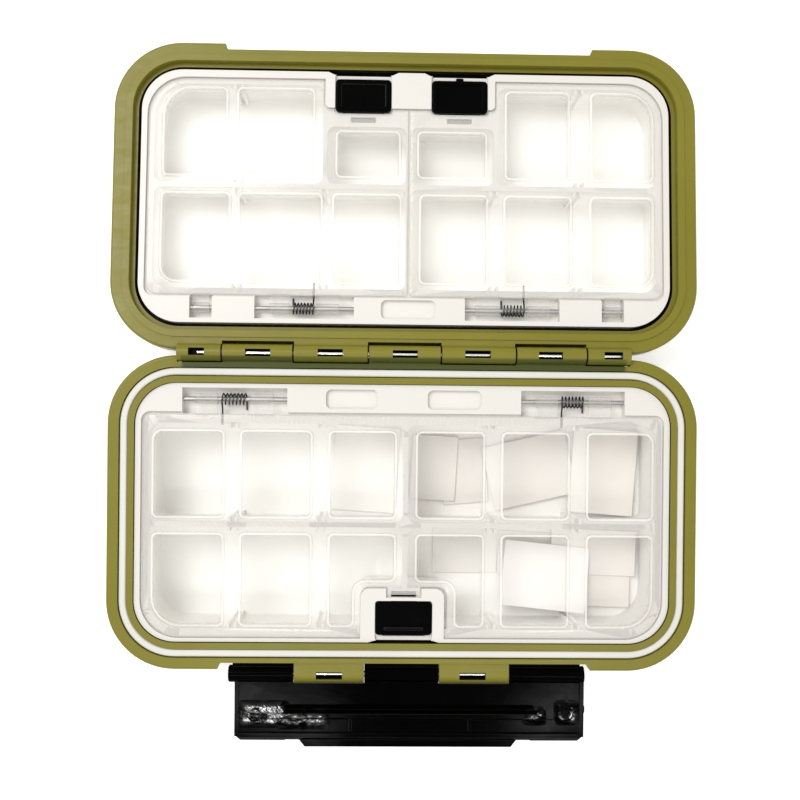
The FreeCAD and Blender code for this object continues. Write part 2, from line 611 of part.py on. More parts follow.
def tray(body, top, s, is_base, buttons, pockets, dishes):
    """White insert: cells, hinge strip with pin pockets, catch housings."""
    zf = P("floor_thickness")
    seat = top - P("seat_depth")
    grow(body, "block", inset_rect(Sk(body, "block_outline", at=zf), P("tray_inset")), top - zf)
    round_off(body, "block_bottom_round", lambda p: near(p.z, zf.v), 1.8)
    # seat for the covers
    fr, rr = P("cover_front_radius") + P("cover_gap"), q(3.2)
    y0, y1 = ys(P("seat_front") if is_base else P("lid_seat_front"),
                P("base_seat_rear") if is_base else P("seat_rear"), s)
    radii = (fr, fr, rr, rr) if s > 0 else (rr, rr, fr, fr)
    cut(body, "cover_seat", Sk(body, "seat_outline", at=top).rect(
        -P("seat_x"), P("seat_x"), y0, y1, radii), P("seat_depth"))
    # cells
    cr, cc = P("cell_radius"), P("corner_cell_radius")
    X, c = P("side_x"), P("wall_x")
    hw = P("inner_wall") / 2
    mr, mf, fro = P("row_mid_rear"), P("row_mid_front"), P("row_front")
    rear = P("base_row_rear") if is_base else P("row_rear")
    cells = Sk(body, "cell_outlines", at=seat)
    depth = seat - zf - P("tray_floor")

    def cell(x0, x1, ya, yb, front_left=False, front_right=False, rear_left=False, rear_right=False):
        a0, a1 = ys(ya, yb, s)
        fl_, fr_ = (cc if front_left else cr), (cc if front_right else cr)
        rl_, rr_ = (q(4.5) if rear_left else cr), (q(4.5) if rear_right else cr)
        cells.rect(x0, x1, a0, a1, (fl_, fr_, rr_, rl_) if s > 0 else (rl_, rr_, fr_, fl_))

    cell(-X, c - hw, mr, rear, rear_left=True)
    cell(c + hw, X, mr, rear, rear_right=True)
    if is_base:
        cell(-X, c - hw, fro, mf, front_left=True)
        cell(c + hw, X, fro, mf, front_right=True)
    else:
        wl, wr = P("lid_wall_left"), P("lid_wall_right")
        cell(-X, wl - hw, fro, mf, front_left=True)
        cell(wl + hw, c - hw, P("lid_small_front"), mf)
        cell(c + hw, wr - hw, P("lid_small_front"), mf)
        cell(wr + hw, X, fro, mf, front_right=True)
    cut(body, "cells", cells, depth)
    floor_z = (zf + P("tray_floor")).v
    round_off(body, "cell_floor_round", lambda p: near(p.z, floor_z), P("cell_floor_fillet"))
    # paired ribs that hold the loose dividers
    ribs = Sk(body, "divider_rib_outline", at=zf + 0.6)
    sw, rw, rc = P("slot_width") / 2, P("rib_width"), P("rib_reach")

    def pair(x, ya, yb):
        for y_wall, sign in ((ya, 1), (yb, -1)):
            a = y_wall - 0.3 * sign
            b = y_wall + rc * sign
            lo, hi = (a, b) if sign > 0 else (b, a)
            lo, hi = ys(lo, hi, s)
            ribs.rect(x - sw - rw, x - sw, lo, hi)
            ribs.rect(x + sw, x + sw + rw, lo, hi)

    s1, s2, s3, s4 = P("slot_one"), P("slot_two"), P("slot_three"), P("slot_four")
    for x in (s1, s2, s3, s4):
        pair(x, mr, rear)
    if is_base:
        for x in (s1, s2, s3, s4):
            pair(x, fro, mf)
    else:
        pair(s1, fro, mf)
        pair(s4 + 0.6, fro, mf)
    grow(body, "divider_ribs", ribs, depth + 0.3)
    # catch housings
    hr = P("housing_rear")
    if is_base:
        house = Sk(body, "housing_outline", at=zf + 2.0)
        y0, y1 = ys(-(HALF_D - P("tray_inset") - 0.02), hr, s)
        r4 = P("housing_radius")
        house.rect(-P("housing_half"), P("housing_half"), y0, y1, (q(0), q(0), r4, r4))
        grow(body, "catch_housing", house, top - zf - 2.0)
    else:
        rim = Sk(body, "catch_rim_outline", at=seat - 0.1)
        y0, y1 = ys(-(HALF_D - P("tray_inset") - 0.02), P("lid_rim_rear"), s)
        rim.rect(-28.0, 30.6, y0, y1, (1.6, 1.6, 0.0, 0.0))
        grow(body, "catch_rim", rim, P("seat_depth") + 0.1)
    well = Sk(body, "well_outline", at=top)
    for bx in buttons:
        bx = q(bx)
        hb = P("button_half") + P("button_clear")
        y0, y1 = ys(P("well_front"), P("button_rear") + 0.2, s)
        well.rect(bx - hb, bx + hb, y0, y1, 1.0)
    cut(body, "button_wells", well, P("button_plate") - P("button_proud") + 0.05)
    low = Sk(body, "low_well_outline", at=top)
    for bx in buttons:
        bx = q(bx)
        hb = P("stem_half") + P("button_clear")
        y0, y1 = ys(P("low_well_front"), P("button_rear") + 0.2, s)
        low.rect(bx - hb, bx + hb, y0, y1)
    cut(body, "low_wells", low, P("well_drop"))
    notch = Sk(body, "button_notch_outline", at=top + 0.5)
    for bx in buttons:
        bx = q(bx)
        ya = -(HALF_D + 1.0) if s > 0 else (HALF_D + 1.0)
        yb = (P("well_front") + 0.3) if s > 0 else -(P("well_front") + 0.3)
        notch.poly([(bx - 10.9, ya), (bx - 9.4, yb), (bx + 9.4, yb), (bx + 10.9, ya)])
    cut(body, "button_notch", notch, P("button_plate") - P("button_proud") + 0.55)
    # the edge is cut away deeply in front of each button
    bite = Sk(body, "edge_bite_outline", at=top + 0.5)
    for bx in buttons:
        bx = q(bx)
        ya = -(HALF_D + 1.0) if s > 0 else (HALF_D + 1.0)
        ye = -(HALF_D - P("tray_inset")) if s > 0 else (HALF_D - P("tray_inset"))
        yb = q(-43.1) if is_base else q(42.75)
        bite.poly([(bx - 12.1, ya), (bx - 12.1, ye), (bx - 10.0, yb), (bx + 10.0, yb),
                   (bx + 12.1, ye), (bx + 12.1, ya)])
    cut(body, "edge_bites", bite, 8.5)
    if is_base:
        tongue = Sk(body, "tongue_seat_outline", at=top)
        for bx in buttons:
            bx = q(bx)
            y0, y1 = ys(P("slot_front") - 0.1, hr + 0.5, s)
            tongue.rect(bx - 6.0, bx + 6.0, y0, y1)
        cut(body, "tongue_seats", tongue, P("seat_depth"))
    slot = Sk(body, "catch_slot_outline", at=top)
    for bx in buttons:
        bx = q(bx)
        y0, y1 = ys(P("button_rear") + 0.1, P("slot_rear"), s)
        slot.rect(bx - P("slot_half"), bx + P("slot_half"), y0, y1)
    cut(body, "catch_slots", slot, P("well_drop"))
    # bridge over the slot's front edge stays above the nose
    bridge = Sk(body, "bridge_outline", at=seat - 0.7)
    for bx in buttons:
        bx = q(bx)
        y0, y1 = ys(P("button_rear") + 0.25, P("slot_front"), s)
        bridge.rect(bx - P("slot_half") - 0.3, bx + P("slot_half") + 0.3, y0, y1)
    grow(body, "catch_bridge", bridge, 0.7 + (P("seat_depth") if is_base else 0.0))
    # hinge strip: hollow beneath, open pockets above for pins and springs
    strip = Sk(body, "strip_hollow_outline", at=zf)
    y0, y1 = ys(rear + 1.4, P("pocket_rear") - 0.2, s)
    strip.rect(q(-80), q(80), y0, y1, 1.5)
    pocket_z = top - P("pocket_drop")
    cut(body, "strip_hollow", strip, pocket_z - zf - 1.3, back=True)
    pk = Sk(body, "hinge_pocket_outline", at=top)
    y0, y1 = ys(P("base_pocket_front") if is_base else P("pocket_front"), P("pocket_rear"), s)
    for x0, x1 in pockets:
        pk.rect(x0, x1, y0, y1)
    cut(body, "hinge_pockets", pk, P("pocket_drop"))
    dish = Sk(body, "dish_outline", at=top)
    y0, y1 = ys(35.4, 42.0, s)
    for x0, x1 in dishes:
        dish.rect(x0, x1, y0, y1, 1.9)
    cut(body, "shallow_dishes", dish, 1.8)
    ay = P("cover_axis_y") if s > 0 else -P("cover_axis_y")
    az = top - P("cover_axis_drop")
    for k, (x0, x1) in enumerate(pockets):
        hole = Sk(body, "pin_hole_%d" % k, "YZ_Plane", at=x0 - 2.2)
        hole.circle(ay, az, P("cover_pin_radius"))
        cut(body, "pin_hole_cut_%d" % k, hole, x1 - x0 + 4.4, back=True)
    return body


BASE_POCKETS = [(-75.0, -39.6), (39.8, 75.2)]
LID_POCKETS = [(-73.2, -65.6), (-51.2, -17.4), (20.4, 52.8), (67.3, 74.9)]
BASE_TOP = P("base_height") - P("base_tray_drop")
LID_TOP = P("lid_height") - P("lid_tray_drop")
base_tray = tray(new_body("base_tray"), BASE_TOP, +1, True, [0.5], BASE_POCKETS,
                 [(-26.5, -9.0), (8.0, 26.2)])
lid_tray = tray(new_body("lid_tray"), LID_TOP, -1, False,
                [P("lid_button_left_x"), P("lid_button_right_x")], LID_POCKETS, [(-8.2, 10.3)])

# spring-leg grooves in the top of the wall between strip and cells
BASE_SPRINGS = [(-61.9, -53.3), (53.6, 61.8)]
LID_SPRINGS = [(-38.6, -30.9), (33.0, 41.0)]


def leg_groove(body, top, s, springs):
    seat = top - P("seat_depth")
    sk = Sk(body, "leg_groove_outline", at=seat)
    y0, y1 = ys(29.0, 35.0, s)
    for x0, x1 in springs:
        leg = x0 + 0.29 if s > 0 else x1 - 0.29
        sk.rect(leg - 0.45, leg + 0.45, y0, y1)
    cut(body, "leg_grooves", sk, 0.8)


leg_groove(base_tray, BASE_TOP, +1, BASE_SPRINGS)
leg_groove(lid_tray, LID_TOP, -1, LID_SPRINGS)


# ---------------------------------------------------------------- covers
def cover(body, top, s, x0, x1, radii, notches, windows, tabs, hook_x):
    """Clear cover: plate, raised window over each cell, hinge knuckles, hook."""
    seat = top - P("seat_depth")
    th = P("cover_thickness")
    edge = P("base_cover_rear") if s > 0 else P("cover_rear")
    y0, y1 = ys((P("seat_front") if s > 0 else P("lid_seat_front")) + P("cover_gap"), edge, s)
    grow(body, "plate", Sk(body, "plate_outline", at=seat).rect(x0, x1, y0, y1, radii), th)
    for k, (a, b, ya, yb, rr) in enumerate(notches):
        n0, n1 = ys(ya, yb, s)
        cut(body, "housing_notch_%d" % k,
            Sk(body, "housing_notch_outline_%d" % k, at=seat + 2.0).rect(a, b, n0, n1, rr), 3.0)
    round_off(body, "plate_edge_round", lambda p: near(p.z, (seat + th).v), 0.35)
    up = Sk(body, "window_outline", at=seat + th - 0.05)
    dn = Sk(body, "window_under_outline", at=seat)
    ws = 0.75
    for (a, b, ya, yb, rr) in windows:
        w0, w1 = ys(ya, yb, s)
        rr = rr if s > 0 else (rr[3], rr[2], rr[1], rr[0])
        up.rect(a, b, w0, w1, tuple(rr))
        dn.rect(a + ws, b - ws, w0 + ws, w1 - ws, tuple(max(k - ws, 0.6) for k in rr))
    grow(body, "windows", up, P("window_rise") + 0.05, taper=-38.0)
    cut(body, "window_undersides", dn, P("window_rise"), back=True)
    # hinge knuckles and the tab that joins each to the plate
    ay = P("cover_axis_y") if s > 0 else -P("cover_axis_y")
    az = top - P("cover_axis_drop")
    kr = P("cover_knuckle_radius")
    for k, (a, b) in enumerate(tabs):
        kn = Sk(body, "knuckle_profile_%d" % k, "YZ_Plane", at=a)
        kn.circle(ay, az, kr)
        grow(body, "knuckle_%d" % k, kn, q(b) - q(a))
        arm = Sk(body, "tab_profile_%d" % k, "YZ_Plane", at=a)
        yr = (edge - 0.5) if s > 0 else -(edge - 0.5)
        arm.poly([(yr, seat + 0.05), (ay, seat + 0.05), (ay, az + kr), (yr, az + kr)])
        grow(body, "tab_%d" % k, arm, q(b) - q(a))
        hole = Sk(body, "knuckle_bore_profile_%d" % k, "YZ_Plane", at=q(a) - 0.5)
        hole.circle(ay, az, P("cover_pin_radius") + P("pin_clearance"))
        cut(body, "knuckle_bore_%d" % k, hole, q(b) - q(a) + 1.0, back=True)
    # tongue and hook held by the button
    hook_x = q(hook_x)
    if s > 0:
        tg = Sk(body, "tongue_outline", at=seat + 0.05)
        t0, t1 = ys(P("hook_front"), P("housing_rear") + 1.2, s)
        tg.rect(hook_x - 5.6, hook_x + 5.6, t0, t1)
        grow(body, "tongue", tg, th - 0.05)
    hk = Sk(body, "hook_profile", "YZ_Plane", at=hook_x - P("hook_half"))
    ya, yb, yc = P("hook_rear"), P("hook_front"), P("barb_reach")
    zb, zt = top - P("hook_low"), top - P("barb_high")
    pts = [(ya, seat + 0.3), (yb, seat + 0.3), (yb, zt), (yc, zt), (yc, zb + 0.3), (yb, zb), (ya, zb)]
    if s < 0:
        pts = [(-a, b) for a, b in pts]
    hk.poly(pts)
    grow(body, "hook", hk, P("hook_half") * 2)
    return body


WR = 2.4
base_windows = []
for k, (a, b) in enumerate(COLS):
    base_windows.append((a, b, -2.2, 28.4, (WR, WR, 4.0 if k == 5 else WR, 4.0 if k == 0 else WR)))
    base_windows.append((a, b, -38.9, -6.5, (10.5 if k == 0 else WR, 10.5 if k == 5 else WR, WR, WR)))
base_cover = new_body("base_cover")
frad, rrad = P("cover_front_radius"), P("cover_rear_radius")


def plain_cover_windows(windows, notch):
    """Windows that meet a housing notch are shortened beside it."""
    out = []
    for (a, b, ya, yb, rr) in windows:
        if ya < notch[2] and not (b < notch[0] or a > notch[1]):
            out.append((a, b, notch[2] + 0.9, yb, (WR, WR, rr[2], rr[3])))
            if a < notch[0] - 6.0:
                out.append((a, notch[0] - 1.2, ya, notch[2] - 0.3 + 1.2, (rr[0], WR, 0.6, 0.6)))
            if b > notch[1] + 6.0:
                out.append((notch[1] + 1.2, b, ya, notch[2] - 0.3 + 1.2, (WR, rr[1], 0.6, 0.6)))
        else:
            out.append((a, b, ya, yb, rr))
    return out


NX = VAL["housing_half"] + 0.5
NY = VAL["housing_rear"] + 0.4
# in the two cells beside the button the raised window steps around the housing
bw = []
for (a, b, ya, yb, rr) in base_windows:
    if ya < -30 and a < NX and b > -NX:
        if b < 5.0:
            bw.append((a, b, NY + 1.4, yb, (0.6 if a < -NX - 1.2 else WR, WR, WR, WR)))
            bw.append((a, -NX - 1.4, ya, NY + 2.2, (WR, WR, 0.6, 0.6)))
        else:
            bw.append((a, b, NY + 1.4, yb, (WR, 0.6 if b > NX + 1.2 else WR, WR, WR)))
            bw.append((NX + 1.4, b, ya, NY + 2.2, (WR, WR, 0.6, 0.6)))
    else:
        bw.append((a, b, ya, yb, rr))
cover(base_cover, BASE_TOP, +1, -(P("seat_x") - P("cover_gap")), P("seat_x") - P("cover_gap"),
      (frad, frad, rrad, rrad),
      [(-NX + 0.5, NX + 0.5, -44.0, NY, (0.0, 0.0, 3.2, 3.2))], bw,
      [(-70.6, -63.2), (-52.2, -44.4), (44.8, 52.4), (63.0, 70.6)], 0.5)

LID_COLS_A = [(-83.8, -61.0), (-58.6, -31.2), (-24.6, -1.6), (3.4, 28.2), (33.6, 56.8), (63.2, 85.8)]
LID_COLS_B = [(-84.0, -59.5), (-57.8, -28.2), (-25.6, -1.2), (4.2, 28.6), (33.2, 57.4), (62.8, 85.7)]
lid_cover_left = new_body("lid_cover_left")
lw = [(LID_COLS_B[0][0], LID_COLS_B[0][1], -1.6, 30.3, (WR, WR, WR, 6.0)),
      (LID_COLS_B[1][0], LID_COLS_B[1][1], -1.6, 30.3, (WR, WR, WR, WR)),
      (LID_COLS_B[2][0], LID_COLS_B[2][1], -1.6, 30.3, (WR, WR, WR, WR)),
      (LID_COLS_A[0][0], LID_COLS_A[0][1], -38.2, -6.3, (10.0, WR, WR, WR)),
      (LID_COLS_A[1][0], LID_COLS_A[1][1], -38.2, -6.3, (WR, WR, WR, WR)),
      (LID_COLS_A[2][0], LID_COLS_A[2][1], -23.6, -6.3, (WR, WR, WR, WR))]
cover(lid_cover_left, LID_TOP, -1, -(P("seat_x") - P("cover_gap")), P("wall_x") - 0.25,
      (rrad, q(1.2), q(1.2), frad),
      [(-28.5, 3.0, -44.0, VAL["lid_rim_rear"] + 0.4, (0.0, 0.0, 0.0, 1.9)[::-1]),
       (VAL["lid_button_left_x"] - 10.0, VAL["lid_button_left_x"] + 10.0, -44.0, -29.4, (1.4, 1.4, 0.0, 0.0))], lw,
      [(-72.3, -66.6), (-46.2, -39.3), (-30.2, -22.6)], P("lid_button_left_x"))
lid_cover_right = new_body("lid_cover_right")
rw_ = [(LID_COLS_B[3][0], LID_COLS_B[3][1], -1.6, 30.3, (WR, WR, WR, WR)),
       (LID_COLS_B[4][0], LID_COLS_B[4][1], -1.6, 30.3, (WR, WR, WR, WR)),
       (LID_COLS_B[5][0], LID_COLS_B[5][1], -1.6, 30.3, (WR, WR, 6.0, WR)),
       (LID_COLS_A[3][0], LID_COLS_A[3][1], -23.6, -6.3, (WR, WR, WR, WR)),
       (LID_COLS_A[4][0], LID_COLS_A[4][1], -38.2, -6.3, (WR, WR, WR, WR)),
       (LID_COLS_A[5][0], LID_COLS_A[5][1], -38.2, -6.3, (WR, 10.0, WR, WR))]
cover(lid_cover_right, LID_TOP, -1, P("wall_x") + 0.25, P("seat_x") - P("cover_gap"),
      (q(1.2), rrad, frad, q(1.2)),
      [(-1.0, 31.0, -44.0, VAL["lid_rim_rear"] + 0.4, (0.0, 1.9, 0.0, 0.0)),
       (VAL["lid_button_right_x"] - 10.0, VAL["lid_button_right_x"] + 10.0, -44.0, -29.4, (1.4, 1.4, 0.0, 0.0))], rw_,
      [(24.0, 32.4), (41.8, 49.6), (68.3, 73.9)], P("lid_button_right_x"))


# ---------------------------------------------------------------- buttons
def button(body, top, s, bx, nib=False):
    """Slide button: top plate, stem in the well, nose over the cover's hook."""
    bx = q(bx)
    hb, br_ = P("button_half"), P("button_radius")
    z_top = top + P("button_proud")
    zp = z_top - P("button_plate")
    y0, y1 = ys(P("button_front"), P("button_rear"), s)
    grow(body, "plate", Sk(body, "plate_outline", at=zp).rect(bx - hb, bx + hb, y0, y1, br_),
         P("button_plate"))
    round_off(body, "plate_round", lambda p: near(p.z, z_top.v), 0.55)
    sh = P("stem_half")
    y0, y1 = ys(P("stem_front"), P("button_rear") - 0.1, s)
    grow(body, "stem", Sk(body, "stem_outline", at=top - P("stem_drop")).rect(
        bx - sh, bx + sh, y0, y1), zp - (top - P("stem_drop")) + 0.2)
    # nose with a sloped upper side so that the hook can ride past it
    ns = Sk(body, "nose_profile", "YZ_Plane", at=bx - P("nose_half"))
    zh, zl = top - P("nose_high"), top - P("nose_low")
    pts = [(P("stem_front") + 3.0, zh), (P("slot_front") - 0.1, zh), (P("nose_tip"), zl + 0.4),
           (P("nose_tip"), zl), (P("stem_front") + 3.0, zl)]
    if s < 0:
        pts = [(-a, b) for a, b in pts]
    ns.poly(pts)
    grow(body, "nose", ns, P("nose_half") * 2)
    # pocket that centres the return spring
    ay = (P("stem_front") + 0.0) if s > 0 else -P("stem_front")
    sp = Sk(body, "spring_pocket_profile", "XZ_Plane", at=-ay)
    sp.circle(bx, top - 4.0, 1.5)
    # the XZ plane faces -Y, so the cut runs towards +Y for the base
    cut(body, "spring_pocket", sp, 1.6, back=(s < 0))
    if s > 0:
        # finger ridge near the front edge
        rg = Sk(body, "ridge_outline", at=z_top - 0.1)
        yc = P("button_front") + 2.2
        rg.rect(bx - 6.4, bx + 6.4, yc - 0.35, yc + 0.35)
        grow(body, "ridge", rg, 0.3)
    else:
        # dished top for the fingertip
        dp = Sk(body, "dish_outline", at=z_top)
        a0, a1 = ys(P("button_front") + 1.5, P("button_rear") - 1.7, s)
        dp.rect(bx - hb + 1.9, bx + hb - 1.9, a0, a1, 0.7)
        cut(body, "fingertip_dish", dp, 0.55)
        round_off(body, "dish_round", lambda p: near(p.z, z_top.v) and abs(p.x - bx.v) < (hb.v - 1.4)
                  and -P("button_front").v - 1.2 > p.y > -P("button_rear").v + 1.4, 0.3)
        if nib:
            nb = Sk(body, "nib_outline", at=z_top - 1.0)
            a0, a1 = ys(P("button_front") - 0.8, P("button_front") + 0.6, s)
            nb.rect(bx - 1.3, bx + 1.3, a0, a1, 0.4)
            grow(body, "nib", nb, 0.9)
    return body


base_button = button(new_body("base_button"), BASE_TOP, +1, 0.5)
lid_button_left = button(new_body("lid_button_left"), LID_TOP, -1, P("lid_button_left_x"))
lid_button_right = button(new_body("lid_button_right"), LID_TOP, -1, P("lid_button_right_x"), True)


# ---------------------------------------------------------------- where the lid lies
rf = VAL["bottom_fillet"]
hc = VAL["lid_height"] - rf
dc = AX_Y + HALF_D.v - VAL["wall_inset"] - rf
want = VAL["base_height"] - rf
reach = math.hypot(hc, dc)
TILT = math.degrees(math.asin(want / reach) - math.atan2(hc, dc))
turn = FreeCAD.Placement(V(0, AX_Y, VAL["base_height"]), FreeCAD.Rotation(V(1, 0, 0), -TILT))
LID = turn.multiply(FreeCAD.Placement(V(0, AX_Y, -VAL["lid_height"]), FreeCAD.Rotation()))
print("lid tilt", round(TILT, 4), "opening", round(180 + TILT, 4))
for item in (lid_shell, lid_tray, lid_cover_left, lid_cover_right, lid_button_left, lid_button_right):
    item.Placement = LID

COVER_Y, BASE_CZ = VAL["cover_axis_y"], BASE_TOP.v - VAL["cover_axis_drop"]
LID_CZ = LID_TOP.v - VAL["cover_axis_drop"]
for name, (x0, x1) in zip(("base_cover_pin_left", "base_cover_pin_right"), BASE_POCKETS):
    pin(name, x0 - 2.1, x1 + 2.1, COVER_Y, BASE_CZ, "cover_pin_radius")
for name, (x0, x1) in zip(("lid_cover_pin_left_outer", "lid_cover_pin_left_inner",
                           "lid_cover_pin_right_inner", "lid_cover_pin_right_outer"), LID_POCKETS):
    pin(name, x0 - 2.1, x1 + 2.1, -COVER_Y, LID_CZ, "cover_pin_radius", LID)


# ---------------------------------------------------------------- springs
def bent_wire(points, bend, radius):
    """Round wire along straight runs with rounded corners, as one solid."""
    edges_, start = [], points[0]
    for k in range(1, len(points) - 1):
        a, b, c = points[k - 1], points[k], points[k + 1]
        u, v = (a - b).normalize(), (c - b).normalize()
        half = u.getAngle(v) / 2.0
        cutback = bend / math.tan(half)
        p, r = b + u * cutback, b + v * cutback
        mid = (u + v).normalize()
        centre = b + mid * (bend / math.sin(half))
        m = centre - mid * bend
        edges_.append(Part.LineSegment(start, p).toShape())
        edges_.append(Part.Arc(p, m, r).toShape())
        start = r
    edges_.append(Part.LineSegment(start, points[-1]).toShape())
    path = Part.Wire(edges_)
    ring_ = Part.Wire([Part.makeCircle(radius, points[0], points[1] - points[0])])
    return path.makePipeShell([ring_], True, True)


def torsion_spring(label, x0, x1, y, z, s, frame=None):
    """Coil on the cover's pin: one leg under the cover, one on the pocket floor."""
    wire_r, leg_r, mean, turns = 0.25, 0.29, 1.85, 6.5
    length = x1 - x0 - 2 * leg_r
    helix = Part.makeHelix(length / turns, length, mean)
    coil = Part.Wire(helix.Edges).makePipeShell(
        [Part.Wire([Part.makeCircle(wire_r, V(mean, 0, 0), V(0, 1, 0))])], True, True)
    # helix axis turned to X: it starts below the pin and ends above it
    coil.Placement = FreeCAD.Placement(V(0, 0, 0), FreeCAD.Rotation(V(0, 1, 0), 90))
    foot = bent_wire([V(0, 0.15, -mean), V(0, -1.2, -mean), V(0, -3.7, -2.2)], 1.0, leg_r)
    leg = bent_wire([V(length, 0.15, mean), V(length, -1.1, mean), V(length, -3.7, 0.3),
                     V(length, -8.8, 0.3)], 0.9, leg_r)
    wire = coil.fuse([foot, leg]).mirror(V(0, 0, 0), V(1, 0, 0))
    obj = doc.addObject("Part::Feature", label)
    obj.Label = label
    obj.Shape = wire
    if s > 0:
        place = FreeCAD.Placement(V(x1 - leg_r, y, z), FreeCAD.Rotation())
    else:
        place = FreeCAD.Placement(V(x0 + leg_r, y, z), FreeCAD.Rotation(V(0, 0, 1), 180))
    obj.Placement = frame.multiply(place) if frame is not None else place
    PARTS.append(obj)
    return obj


for name, (x0, x1) in zip(("base_cover_spring_left", "base_cover_spring_right"), BASE_SPRINGS):
    torsion_spring(name, x0, x1, COVER_Y, BASE_CZ, +1)
for name, (x0, x1) in zip(("lid_cover_spring_left", "lid_cover_spring_right"), LID_SPRINGS):
    torsion_spring(name, x0, x1, -COVER_Y, LID_CZ, -1, LID)


def push_spring(label, x, top, s, frame=None):
    """Small compression coil between the button's stem and the well's front wall."""
    wire_r, mean, turns = 0.18, 1.05, 6.0
    ya, yb = abs(VAL["stem_front"]) - 1.55, abs(VAL["low_well_front"]) - 0.05
    length = yb - ya - 2 * wire_r
    helix = Part.makeHelix(length / turns, length, mean)
    coil = Part.Wire(helix.Edges).makePipeShell(
        [Part.Wire([Part.makeCircle(wire_r, V(mean, 0, 0), V(0, 1, 0))])], True, True)
    angle = 90 if s > 0 else -90
    coil.Placement = FreeCAD.Placement(V(x, -s * (ya + wire_r), top - 4.0),
                                       FreeCAD.Rotation(V(1, 0, 0), angle))
    obj = doc.addObject("Part::Feature", label)
    obj.Label = label
    obj.Shape = coil
    if frame is not None:
        obj.Placement = frame.multiply(obj.Placement)
    PARTS.append(obj)
    return obj


push_spring("base_button_spring", 0.5, BASE_TOP.v, +1)
push_spring("lid_button_spring_left", VAL["lid_button_left_x"], LID_TOP.v, -1, LID)
push_spring("lid_button_spring_right", VAL["lid_button_right_x"], LID_TOP.v, -1, LID)

# ---------------------------------------------------------------- loose dividers
FLOOR = VAL["floor_thickness"] + VAL["tray_floor"]
TH = VAL["divider_thickness"]
LONG, TALL, LOW = VAL["divider_length"], VAL["base_divider_height"], VAL["lid_divider_height"]
# centre x, centre y, turn about Z, size along x, size along y, layer, tip about X
PLATES = [
    (-13.2, 13.5, -3.5, TALL, LONG, 0, 0.0),
    (22.4, 13.0, 5.0, LOW, TALL, 0, 0.0),
    (11.6, 14.2, -3.0, LOW, TALL, 1, 0.0),
    (72.9, 15.1, 2.0, TALL, TALL + 3.0, 0, 0.0),
    (46.2, 13.6, 13.0, LONG, TALL, 1, 0.0),
    (72.7, 13.3, -4.0, TALL, LONG, 2, 0.0),
    (23.0, -15.6, 0.0, TALL, LOW, 0, 0.0),
    (46.8, -17.0, -3.0, TALL, LOW, 0, 0.0),
    (67.6, -27.4, -1.0, LONG, LOW, 1, 0.0),
    (69.4, -15.8, -2.0, LONG, LOW, 2, 0.0),
    (51.5, -24.4, -6.0, LONG, TALL, 3, 9.0),
]
for k, (cx, cy, ang, sx, sy, layer, tip) in enumerate(PLATES, start=1):
    label = "divider_%02d" % k
    obj = doc.addObject("Part::Box", label)
    obj.Label = label
    obj.Length, obj.Width = sx, sy
    obj.setExpression("Height", "Dims.divider_thickness")
    z = FLOOR + 0.02 + layer * (TH + 0.03)
    rot = FreeCAD.Rotation(V(0, 0, 1), ang)
    off = rot.multVec(V(-sx / 2, -sy / 2, 0))
    place = FreeCAD.Placement(V(cx + off.x, cy + off.y, z), rot)
    if tip:
        # resting on its rear edge, front edge raised against the wall
        place = place.multiply(FreeCAD.Placement(
            V(0, 0, 0), FreeCAD.Rotation(V(1, 0, 0), -tip), V(0, sy, 0)))
    obj.Placement = place
    PARTS.append(obj)

# ---------------------------------------------------------------- check and write
doc.recompute()
for obj in doc.Objects:
    if "Invalid" in obj.State or "Error" in obj.State:
        FAULTS.append("%s (%s) state %s" % (obj.Name, obj.Label, obj.State))
seen = set()
for obj in PARTS:
    if obj.Label in seen:
        FAULTS.append("label twice: " + obj.Label)
    seen.add(obj.Label)
    shape = obj.Shape
    if shape.isNull() or not shape.isValid():
        FAULTS.append("bad shape: " + obj.Label)
    elif len(shape.Solids) != 1:
        FAULTS.append("%s has %d solids" % (obj.Label, len(shape.Solids)))
if FAULTS:
    raise RuntimeError("; ".join(FAULTS))
os.makedirs("parts", exist_ok=True)
for old in os.listdir("parts"):
    if old.endswith(".step") and old[:-5] not in seen:
        os.remove(os.path.join("parts", old))
for obj in PARTS:
    obj.Shape.exportStep(os.path.join("parts", obj.Label + ".step"))
print("wrote", len(PARTS), "parts")
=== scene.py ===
import json
import math
import random

import bmesh
import bpy
import numpy as np
from mathutils import Matrix, Vector


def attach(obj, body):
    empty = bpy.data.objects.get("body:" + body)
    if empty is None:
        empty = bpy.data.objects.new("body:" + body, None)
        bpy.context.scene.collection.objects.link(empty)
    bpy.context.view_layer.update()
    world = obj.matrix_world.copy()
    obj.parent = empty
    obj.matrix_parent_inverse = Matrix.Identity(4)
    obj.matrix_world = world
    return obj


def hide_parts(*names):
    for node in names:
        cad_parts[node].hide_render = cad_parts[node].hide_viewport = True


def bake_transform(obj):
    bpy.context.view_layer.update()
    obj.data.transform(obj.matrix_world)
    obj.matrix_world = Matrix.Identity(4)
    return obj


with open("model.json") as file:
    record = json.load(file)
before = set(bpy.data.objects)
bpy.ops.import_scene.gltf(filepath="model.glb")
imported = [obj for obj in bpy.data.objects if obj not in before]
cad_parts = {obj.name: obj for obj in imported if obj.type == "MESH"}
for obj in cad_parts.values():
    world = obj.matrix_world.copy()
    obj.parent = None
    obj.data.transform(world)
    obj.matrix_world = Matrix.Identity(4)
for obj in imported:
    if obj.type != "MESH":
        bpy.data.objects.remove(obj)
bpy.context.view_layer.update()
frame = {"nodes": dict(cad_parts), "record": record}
nodes = frame["nodes"]
MM = 0.001
rng = random.Random(7)

